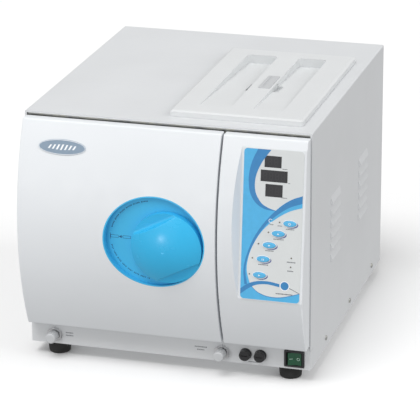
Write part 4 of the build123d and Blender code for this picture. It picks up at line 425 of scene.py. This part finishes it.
# ---------------------------------------------------------------- control panel graphics
def facet_frame():
    """Origin, upward direction and outward normal of the membrane's face, in millimetres."""
    mesh = frame["nodes"]["membrane"].data
    face = max(mesh.polygons, key=lambda p: p.area if p.normal.y < -0.9 else 0)
    normal = face.normal.normalized()
    up = Vector((1, 0, 0)).cross(normal) * -1
    return Vector(face.center) / MM, up.normalized(), normal


face_point, face_up, face_out = facet_frame()


def on_membrane(lift=0.0):
    """Place on the membrane, from X and the height above the casing's bottom edge."""
    def place(x, height, out):
        rise = (BENCH_TO_BASE + height - face_point.z) / face_up.z
        start = Vector((x, face_point.y, face_point.z))
        return start + face_up * rise + face_out * (lift - PRINT_SINK + out)
    return place


film_low, film_high = (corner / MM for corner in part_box("membrane"))
EDGE = 0.4  # bare film left round the print
LEFT, RIGHT = film_low.x + EDGE, film_high.x - EDGE
BOTTOM = film_low.z - BENCH_TO_BASE + EDGE + 0.5
TOP = film_high.z - BENCH_TO_BASE - EDGE - 0.5
FILM_R = 5.6

# Edge of the upper white field, from the top edge down to the pinch.
UPPER_FIELD = [
    (172.5, TOP), (158.5, 345), (149.5, 322), (149.5, 300),
    (158.5, 283.5), (169, 276.5), (182, 272.5),
]
# Edge of the lower white field, from the right edge round to the bottom band.
LOWER_FIELD = [
    (RIGHT, 280), (202, 272), (178.5, 256), (160, 236.5),
    (147, 213), (140.8, 192), (140, 174), (145.5, 155),
]
DOT_PLACE = (200, 156.7)
DOT_R = 6.4
DOT_RING = 1.3  # width of the white ring round it
# Lower edge of the white lens at the bottom, from its left tip to its right tip.
LENS_LOW = [(147.5, 152.5), (158, 143.5), (175, 138.2), (196, 138.8), (RIGHT, 147)]


def membrane_prints():
    left_corner = ellipse(LEFT + FILM_R, TOP - FILM_R, FILM_R, FILM_R, 180, 90, 8)
    low_left = ellipse(LEFT + FILM_R, BOTTOM + FILM_R, FILM_R, FILM_R, 270, 180, 8)
    low_right = ellipse(RIGHT - FILM_R, BOTTOM + FILM_R, FILM_R, FILM_R, 0, -90, 8)
    swoosh_top = [(182, 272.5), (192, 281.5), (205, 290.5), (RIGHT, 298.5)]
    field = (
        left_corner + smooth(UPPER_FIELD) + smooth(swoosh_top)[1:] + smooth(LOWER_FIELD)
        + smooth(LENS_LOW) + low_right + low_left
    )
    upper_left = [
        (152, TOP), (143, 345), (138.6, 322), (141, 298),
        (150.5, 282), (165, 273.5), (182, 271.6),
    ]
    upper_band = smooth(upper_left) + smooth(UPPER_FIELD)[::-1]
    lower_top = [
        (RIGHT, 298.5), (205, 290.5), (185, 275), (166, 254),
        (150, 229), (139.5, 202), (134.5, 178), (136.5, 154),
    ]
    lower_low = [
        (RIGHT, 286.5), (203, 278.5), (181, 262.5), (163, 242.5),
        (148.5, 217), (139.8, 193), (137.8, 174), (141, 154),
    ]
    lower_band = smooth(lower_top) + smooth(lower_low)[::-1]
    base_band = smooth([(LEFT, 146.5), (141, 154.5), (155, 160), (173, 161.6), (192, 159)])
    base_band += smooth([(192, 154.2), (172, 156.8), (156, 154.6), (144, 148.5), (LEFT, 138)])
    lens_line = smooth(LENS_LOW) + [(x, y - 1.1) for x, y in smooth(LENS_LOW)[::-1]]
    tail = smooth([(205, 155.4), (214, 151.6), (RIGHT, 147.2)])
    tail += smooth([(RIGHT, 146.2), (214, 150.6), (205, 154.2)])
    piece("print_light_field", plate("print_light_field", [[field]], on_membrane()), "body",
          INKS["light"])
    bands = [[upper_band], [lower_band], [base_band], [lens_line]]
    piece("print_dark_bands", plate("print_dark_bands", bands, on_membrane(0.03)), "body",
          INKS["dark"])
    piece("print_tail_line", plate("print_tail_line", [[tail]], on_membrane(0.04)), "body",
          INKS["grey"])
    ring = ellipse(*DOT_PLACE, DOT_R + DOT_RING, DOT_R + DOT_RING)
    dot = ellipse(*DOT_PLACE, DOT_R, DOT_R)
    piece("print_dot_ring", plate("print_dot_ring", [[ring, dot]], on_membrane(0.06)), "body",
          INKS["white"])
    piece("print_dot", plate("print_dot", [[dot]], on_membrane(0.06)), "body", INKS["dark"])


KEY_NODES = ("key_top", "key_second", "key_third", "key_fourth", "key_start")
KEY_BODIES = ("button_top", "button_second", "button_third", "button_fourth", "button_start")
KEY_PLACES = [(205, 254), (187.5, 237), (174, 218), (165, 195.5), (160, 170)]
KEY_A, KEY_B = 10.0, 4.4
KEY_PROUD = 2.2
LABEL_DROP = 8.6  # from a key's centre down to the marks under it


def key_prints():
    """White rings round the keys, painted shadows as dark crescents to their lower right, and a line of
    small marks under each.
    """
    rings, shadows, labels = [], [], []
    for i, (x, y) in enumerate(KEY_PLACES):
        rings.append([ellipse(x, y, KEY_A + 1.5, KEY_B + 1.5), ellipse(x, y, KEY_A + 0.45, KEY_B + 0.45)])
        # Painted shadow: a dark crescent offset to the lower right of each key, where the raised key's
        # shadow falls.
        crescent = ellipse(x + 1.9, y - 1.3, KEY_A + 1.2, KEY_B + 1.2, -118, 32, 24)
        crescent += ellipse(x, y, KEY_A + 1.55, KEY_B + 1.55, 26, -112, 24)
        shadows.append([crescent])
        if i < len(KEY_PLACES) - 1:
            labels += text_row(x + 0.5, y - LABEL_DROP, 13.0 + i % 2 * 3.0, 1.7, i)
    piece("print_key_rings", plate("print_key_rings", rings, on_membrane(0.08)), "body",
          INKS["white"])
    # painted shadows of the keys
    piece("painted_key_shadows", plate("painted_key_shadows", shadows, on_membrane(0.05)), "body",
          INKS["shadow"])
    piece("print_key_labels", plate("print_key_labels", labels, on_membrane(0.02)), "body",
          INKS["grey"])


def key_icons():
    """A generic sign on each key: a ring, two arrows, a bar pair and a pointer."""
    def arrow(x, y, up):
        return [[(x - 1.7, y - 0.8 * up), (x + 1.7, y - 0.8 * up), (x, y + 1.5 * up)]]
    for i, (node_name, body, (x, y)) in enumerate(zip(KEY_NODES, KEY_BODIES, KEY_PLACES)):
        shapes = [
            [[ellipse(x, y, 2.1, 1.7, steps=24), ellipse(x, y, 1.5, 1.1, steps=24)]],
            [arrow(x, y, 1)],
            [arrow(x, y, -1)],
            [[bar(x - 1.2, y, 0.9, 2.8)], [bar(x + 1.2, y, 0.9, 2.8)]],
            [[[(x - 1.2, y - 1.5), (x + 1.7, y), (x - 1.2, y + 1.5)]]],
        ][i]
        piece(f"icon_{node_name}", plate(f"icon_{node_name}", shapes, on_membrane(KEY_PROUD)), body,
              INKS["white"])


def panel_labels():
    marks = []
    marks += text_row(194.5, 337.2, 7.5, 1.3, 1)
    marks += text_row(202.0, 316.0, 2.6, 1.3, 2)
    marks += text_row(195.0, 293.0, 8.5, 1.3, 3)
    marks += text_row(189.5, 249.5, 7.0, 1.3, 4)
    marks += text_row(176.5, 250.5, 6.0, 1.3, 2)
    marks += text_row(209.0, 194.6, 13.0, 1.8, 1)
    marks += text_row(208.5, 180.8, 9.5, 1.8, 5)
    marks += text_row(200.0, 143.9, 27.0, 2.0, 3)
    piece("print_panel_labels", plate("print_panel_labels", marks, on_membrane(0.05)), "body",
          INKS["grey"])
    sign = [[ellipse(174.8, 256.2, 3.1, 3.1, 40, 330, 24) + ellipse(174.8, 256.2, 2.3, 2.3, 330, 40, 24)]]
    piece("print_door_sign", plate("print_door_sign", sign, on_membrane(0.06)), "body",
          INKS["white"])


def seven_segments(x, y, height, digits, pitch):
    """Unlit seven-segment digits, faint behind the smoked windows."""
    shapes = []
    half = height / 2
    wide, thick, gap = height * 0.46, height * 0.10, height * 0.05
    for i in range(digits):
        cx = x + (i - (digits - 1) / 2) * pitch
        for level in (-half, 0, half):
            shapes.append([bar(cx, y + level, wide - 2 * gap, thick)])
        for side in (-wide / 2, wide / 2):
            for level in (-half / 2, half / 2):
                shapes.append([bar(cx + side, y + level, thick, half - 2 * gap)])
    return shapes


def window_digits():
    shapes = seven_segments(175.75, 347.0, 10.5, 2, 9.5)
    shapes += seven_segments(178.0, 325.0, 10.5, 4, 9.3)
    shapes += seven_segments(178.5, 302.75, 10.5, 2, 9.5)
    below_film = -0.1
    piece("window_segments", plate("window_segments", shapes, on_membrane(below_film)), "body",
          INKS["segment"])


membrane_prints()
key_prints()
key_icons()
panel_labels()
window_digits()


# ---------------------------------------------------------------- marks in the door's dish
dish_low, dish_high = (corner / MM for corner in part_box("knob_escutcheon"))
DISH_X, DISH_Z = (dish_low.x + dish_high.x) / 2, (dish_low.z + dish_high.z) / 2
DISH_A, DISH_B = (dish_high.x - dish_low.x) / 2, (dish_high.z - dish_low.z) / 2
DISH_FLOOR_T = 2.5
DISH_FLOOR_Y = dish_high.y - DISH_FLOOR_T
SCALE_INSET = 9.5
MARK_T = 1.9


def upright(y):
    """Place on an upright plane at this Y, with the marks standing out to the front."""
    def place(x, z, out):
        return (x, y + PRINT_SINK - out, z)
    return place


def dish_arc(start, stop, pitch, skip):
    """Short marks in groups along an arc inside the dish's rim, like a line of small lettering."""
    shapes = []
    a, b = DISH_A - SCALE_INSET, DISH_B - SCALE_INSET
    angle, i = start, 0
    while angle < stop:
        t = math.radians(angle)
        tangent = math.degrees(math.atan2(b * math.cos(t), -a * math.sin(t)))
        if i % skip:
            x, z = DISH_X + a * math.cos(t), DISH_Z + b * math.sin(t)
            size = 0.62 + 0.38 * ((i * 7) % 3) / 2
            shapes.append([bar(x, z, pitch * 0.62, MARK_T * size, tangent)])
            if i % 2:
                shapes.append([bar(x, z, 0.55, MARK_T * 1.25, tangent)])
        angle += math.degrees(pitch / math.hypot(a * math.sin(t), b * math.cos(t)))
        i += 1
    return shapes


def dish_pictogram(x0, x1, z):
    """Arrow between two open bars, from the rim towards the knob."""
    middle = (x0 + x1) / 2
    shapes = []
    for left, right in ((x0, middle - 3.5), (middle + 3.5, x1)):
        centre, width = (left + right) / 2, right - left
        shapes.append([bar(centre, z, width, 4.6), bar(centre, z, width - 1.2, 3.4)])
    shapes.append([[(middle - 3.2, z), (middle + 1.6, z - 2.6), (middle + 1.6, z + 2.6)]])
    shapes.append([bar(middle + 2.4, z, 1.6, 0.8)])
    shapes.append([bar(x0 - 0.3, z, 0.9, 10.0)])
    return shapes


def dish_marks():
    shapes = dish_arc(98, 168, 2.3, 6) + dish_arc(190, 262, 2.3, 5)
    shapes += dish_pictogram(-79.0, -46.0, DISH_Z + 1.0)
    piece("print_dish_marks", plate("print_dish_marks", shapes, upright(DISH_FLOOR_Y)), "door",
          INKS["navy"])


dish_marks()


# ---------------------------------------------------------------- badge
BULGE_R = 397.0  # convex front of both covers
BULGE_Z = 227.0
cover_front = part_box("door_cover")[0].y / MM
badge_low, badge_high = (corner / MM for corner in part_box("door_badge"))
BADGE_T = 0.9


def on_badge(x, z, out):
    radius = BULGE_R + BADGE_T - PRINT_SINK + out
    y = cover_front + BULGE_R - math.sqrt(radius**2 - (z - BULGE_Z) ** 2)
    return (x, y, z)


def badge_mark():
    """A plain border and a row of slanted bars, in place of a name."""
    x, z = (badge_low.x + badge_high.x) / 2, (badge_low.z + badge_high.z) / 2
    a, b = (badge_high.x - badge_low.x) / 2, (badge_high.z - badge_low.z) / 2
    shapes = [[ellipse(x, z, a - 0.4, b - 0.4, steps=72), ellipse(x, z, a - 1.1, b - 1.1, steps=72)]]
    for i in range(-3, 4):
        lean = 1.6
        half = 4.2 - 0.45 * abs(i)
        cx = x + 6.6 * i
        shapes.append([[(cx - 1.7 - lean, z - half), (cx + 1.2 - lean, z - half),
                        (cx + 1.7 + lean, z + half), (cx - 1.2 + lean, z + half)]])
    piece("badge_bars", plate("badge_bars", shapes, on_badge), "door", INKS["white"])


badge_mark()


# ---------------------------------------------------------------- marks on the lower strip and the switch
STRIP_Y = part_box("base_tray")[0].y / MM


def strip_marks():
    left_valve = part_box("drain_knob_left")
    right_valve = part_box("drain_knob_right")
    valve_z = (left_valve[0].z + left_valve[1].z) / 2 / MM
    shapes = text_row(left_valve[1].x / MM + 16.0, valve_z + 4.0, 13.0, 1.9, 1)
    shapes += text_row(left_valve[1].x / MM + 16.0, valve_z - 0.6, 13.0, 1.9, 4)
    shapes += text_row(right_valve[0].x / MM - 26.0, valve_z + 4.6, 20.0, 2.0, 2)
    shapes += text_row(right_valve[0].x / MM - 26.0, valve_z - 0.2, 12.0, 2.0, 5)
    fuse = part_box("fuse_holders")
    shapes += text_row((fuse[0].x + fuse[1].x) / 2 / MM, fuse[0].z / MM - 3.0, 15.0, 1.7, 3)
    piece("print_strip_marks", plate("print_strip_marks", shapes, upright(STRIP_Y)), "body",
          INKS["grey"])


ROCKER_TILT = 7.0  # degrees, at rest
ROCKER_PIVOT = (204.0, -214.0)  # X and Y
ROCKER_HALF = 10.6  # half the width of its shallow V face
ROCKER_FACE = 7.0  # from the pivot to the middle of the face
ROCKER_SAG = 2.5  # how much further out its ends are


def rocker_marks():
    """A bar and a ring, the usual signs for on and off, on the rocker's two leaning faces."""
    low, high = (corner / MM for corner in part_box("switch_rocker"))
    tilt = math.radians(ROCKER_TILT)
    z = (low.z + high.z) / 2
    pivot = Vector(ROCKER_PIVOT)
    along = Vector((math.cos(tilt), math.sin(tilt)))
    outwards = Vector((math.sin(tilt), -math.cos(tilt)))

    def place(u, v, out):
        sag = ROCKER_FACE + ROCKER_SAG * (u / ROCKER_HALF) ** 2
        flat = pivot + along * u + outwards * (sag - PRINT_SINK + out)
        return (flat.x, flat.y, z + v)

    ring = [ellipse(5.6, 0, 2.5, 2.5, steps=28), ellipse(5.6, 0, 1.7, 1.7, steps=28)]
    shapes = [[bar(-5.6, 0, 5.0, 1.0)], ring]
    piece("rocker_signs", plate("rocker_signs", shapes, place, 0.2), "rocker", INKS["legend"])


strip_marks()
rocker_marks()


# ---------------------------------------------------------------- floor, light and camera
CAMERA_PLACE = (1.0718, -3.6539, 1.5669)
CAMERA_AZIMUTH, CAMERA_ELEVATION, CAMERA_ROLL = (math.radians(a) for a in (16.283, 19.676, -0.373))
CAMERA_LENS = 211.65
FLOOR_HALF = 12.0
SURROUND_STRENGTH = 0.48


def pale_floor():
    """White ground that takes shadows and throws no light back on the object."""
    half = FLOOR_HALF
    mesh = bpy.data.meshes.new("floor")
    corners = [(-half, -half, 0), (half, -half, 0), (half, half, 0), (-half, half, 0)]
    mesh.from_pydata(corners, [], [(0, 1, 2, 3)])
    floor = bpy.data.objects.new("floor", mesh)
    bpy.context.scene.collection.objects.link(floor)
    surface = Surface("floor_white", 0.9)
    surface.shader.inputs["Base Color"].default_value = (0.97, 0.97, 0.97, 1)
    mesh.materials.append(surface.material)
    floor.visible_diffuse = False
    floor.visible_glossy = False


def soft_sun(name, azimuth, elevation, angle, strength):
    """Parallel light from this direction; azimuth 0 is from the front, positive from the right."""
    light = bpy.data.lights.new(name, "SUN")
    light.angle = math.radians(angle)
    light.energy = strength
    lamp = bpy.data.objects.new(name, light)
    turn, rise = math.radians(azimuth), math.radians(elevation)
    source = Vector((math.sin(turn) * math.cos(rise), -math.cos(turn) * math.cos(rise), math.sin(rise)))
    lamp.rotation_euler = source.to_track_quat("Z", "Y").to_euler()
    bpy.context.scene.collection.objects.link(lamp)


def soft_light(name, place, target, size, power):
    """Rectangular light at a place, turned to a target, in metres and watts."""
    light = bpy.data.lights.new(name, "AREA")
    light.shape = "RECTANGLE"
    light.size, light.size_y = size
    light.energy = power
    lamp = bpy.data.objects.new(name, light)
    lamp.location = place
    lamp.rotation_euler = (Vector(target) - Vector(place)).to_track_quat("-Z", "Y").to_euler()
    bpy.context.scene.collection.objects.link(lamp)


def studio():
    """Even white surround, a high key light, weak fills and a small gleam for the knob."""
    world = bpy.data.worlds.new("studio")
    world.use_nodes = True
    background = world.node_tree.nodes["Background"]
    background.inputs["Color"].default_value = (1.0, 1.0, 1.0, 1)
    background.inputs["Strength"].default_value = SURROUND_STRENGTH
    bpy.context.scene.world = world
    soft_sun("key", -16, 64, 30, 1.38)
    soft_sun("front", -22, 14, 60, 0.22)
    soft_sun("side", 86, 30, 40, 1.05)
    soft_light("left", (-1.3, -1.5, 1.9), (0, -0.2, 0.25), (0.9, 0.9), 4)
    soft_light("gleam", (-1.0, -3.2, 0.42), (0.01, -0.29, 0.23), (0.12, 0.16), 9)


def camera():
    """A long lens from the front right, a little above."""
    back = Vector((
        math.sin(CAMERA_AZIMUTH) * math.cos(CAMERA_ELEVATION),
        -math.cos(CAMERA_AZIMUTH) * math.cos(CAMERA_ELEVATION),
        math.sin(CAMERA_ELEVATION),
    ))
    right = (-back).cross(Vector((0, 0, 1))).normalized()
    up = right.cross(-back).normalized()
    tilted_right = right * math.cos(CAMERA_ROLL) + up * math.sin(CAMERA_ROLL)
    tilted_up = up * math.cos(CAMERA_ROLL) - right * math.sin(CAMERA_ROLL)
    data = bpy.data.cameras.new("camera")
    data.sensor_width = 36.0
    data.lens = CAMERA_LENS
    item = bpy.data.objects.new("camera", data)
    turn = Matrix((tilted_right, tilted_up, back)).transposed()
    item.matrix_world = Matrix.Translation(CAMERA_PLACE) @ turn.to_4x4()
    bpy.context.scene.collection.objects.link(item)
    bpy.context.scene.camera = item


pale_floor()
studio()
camera()
bpy.context.scene.view_settings.view_transform = "Standard"
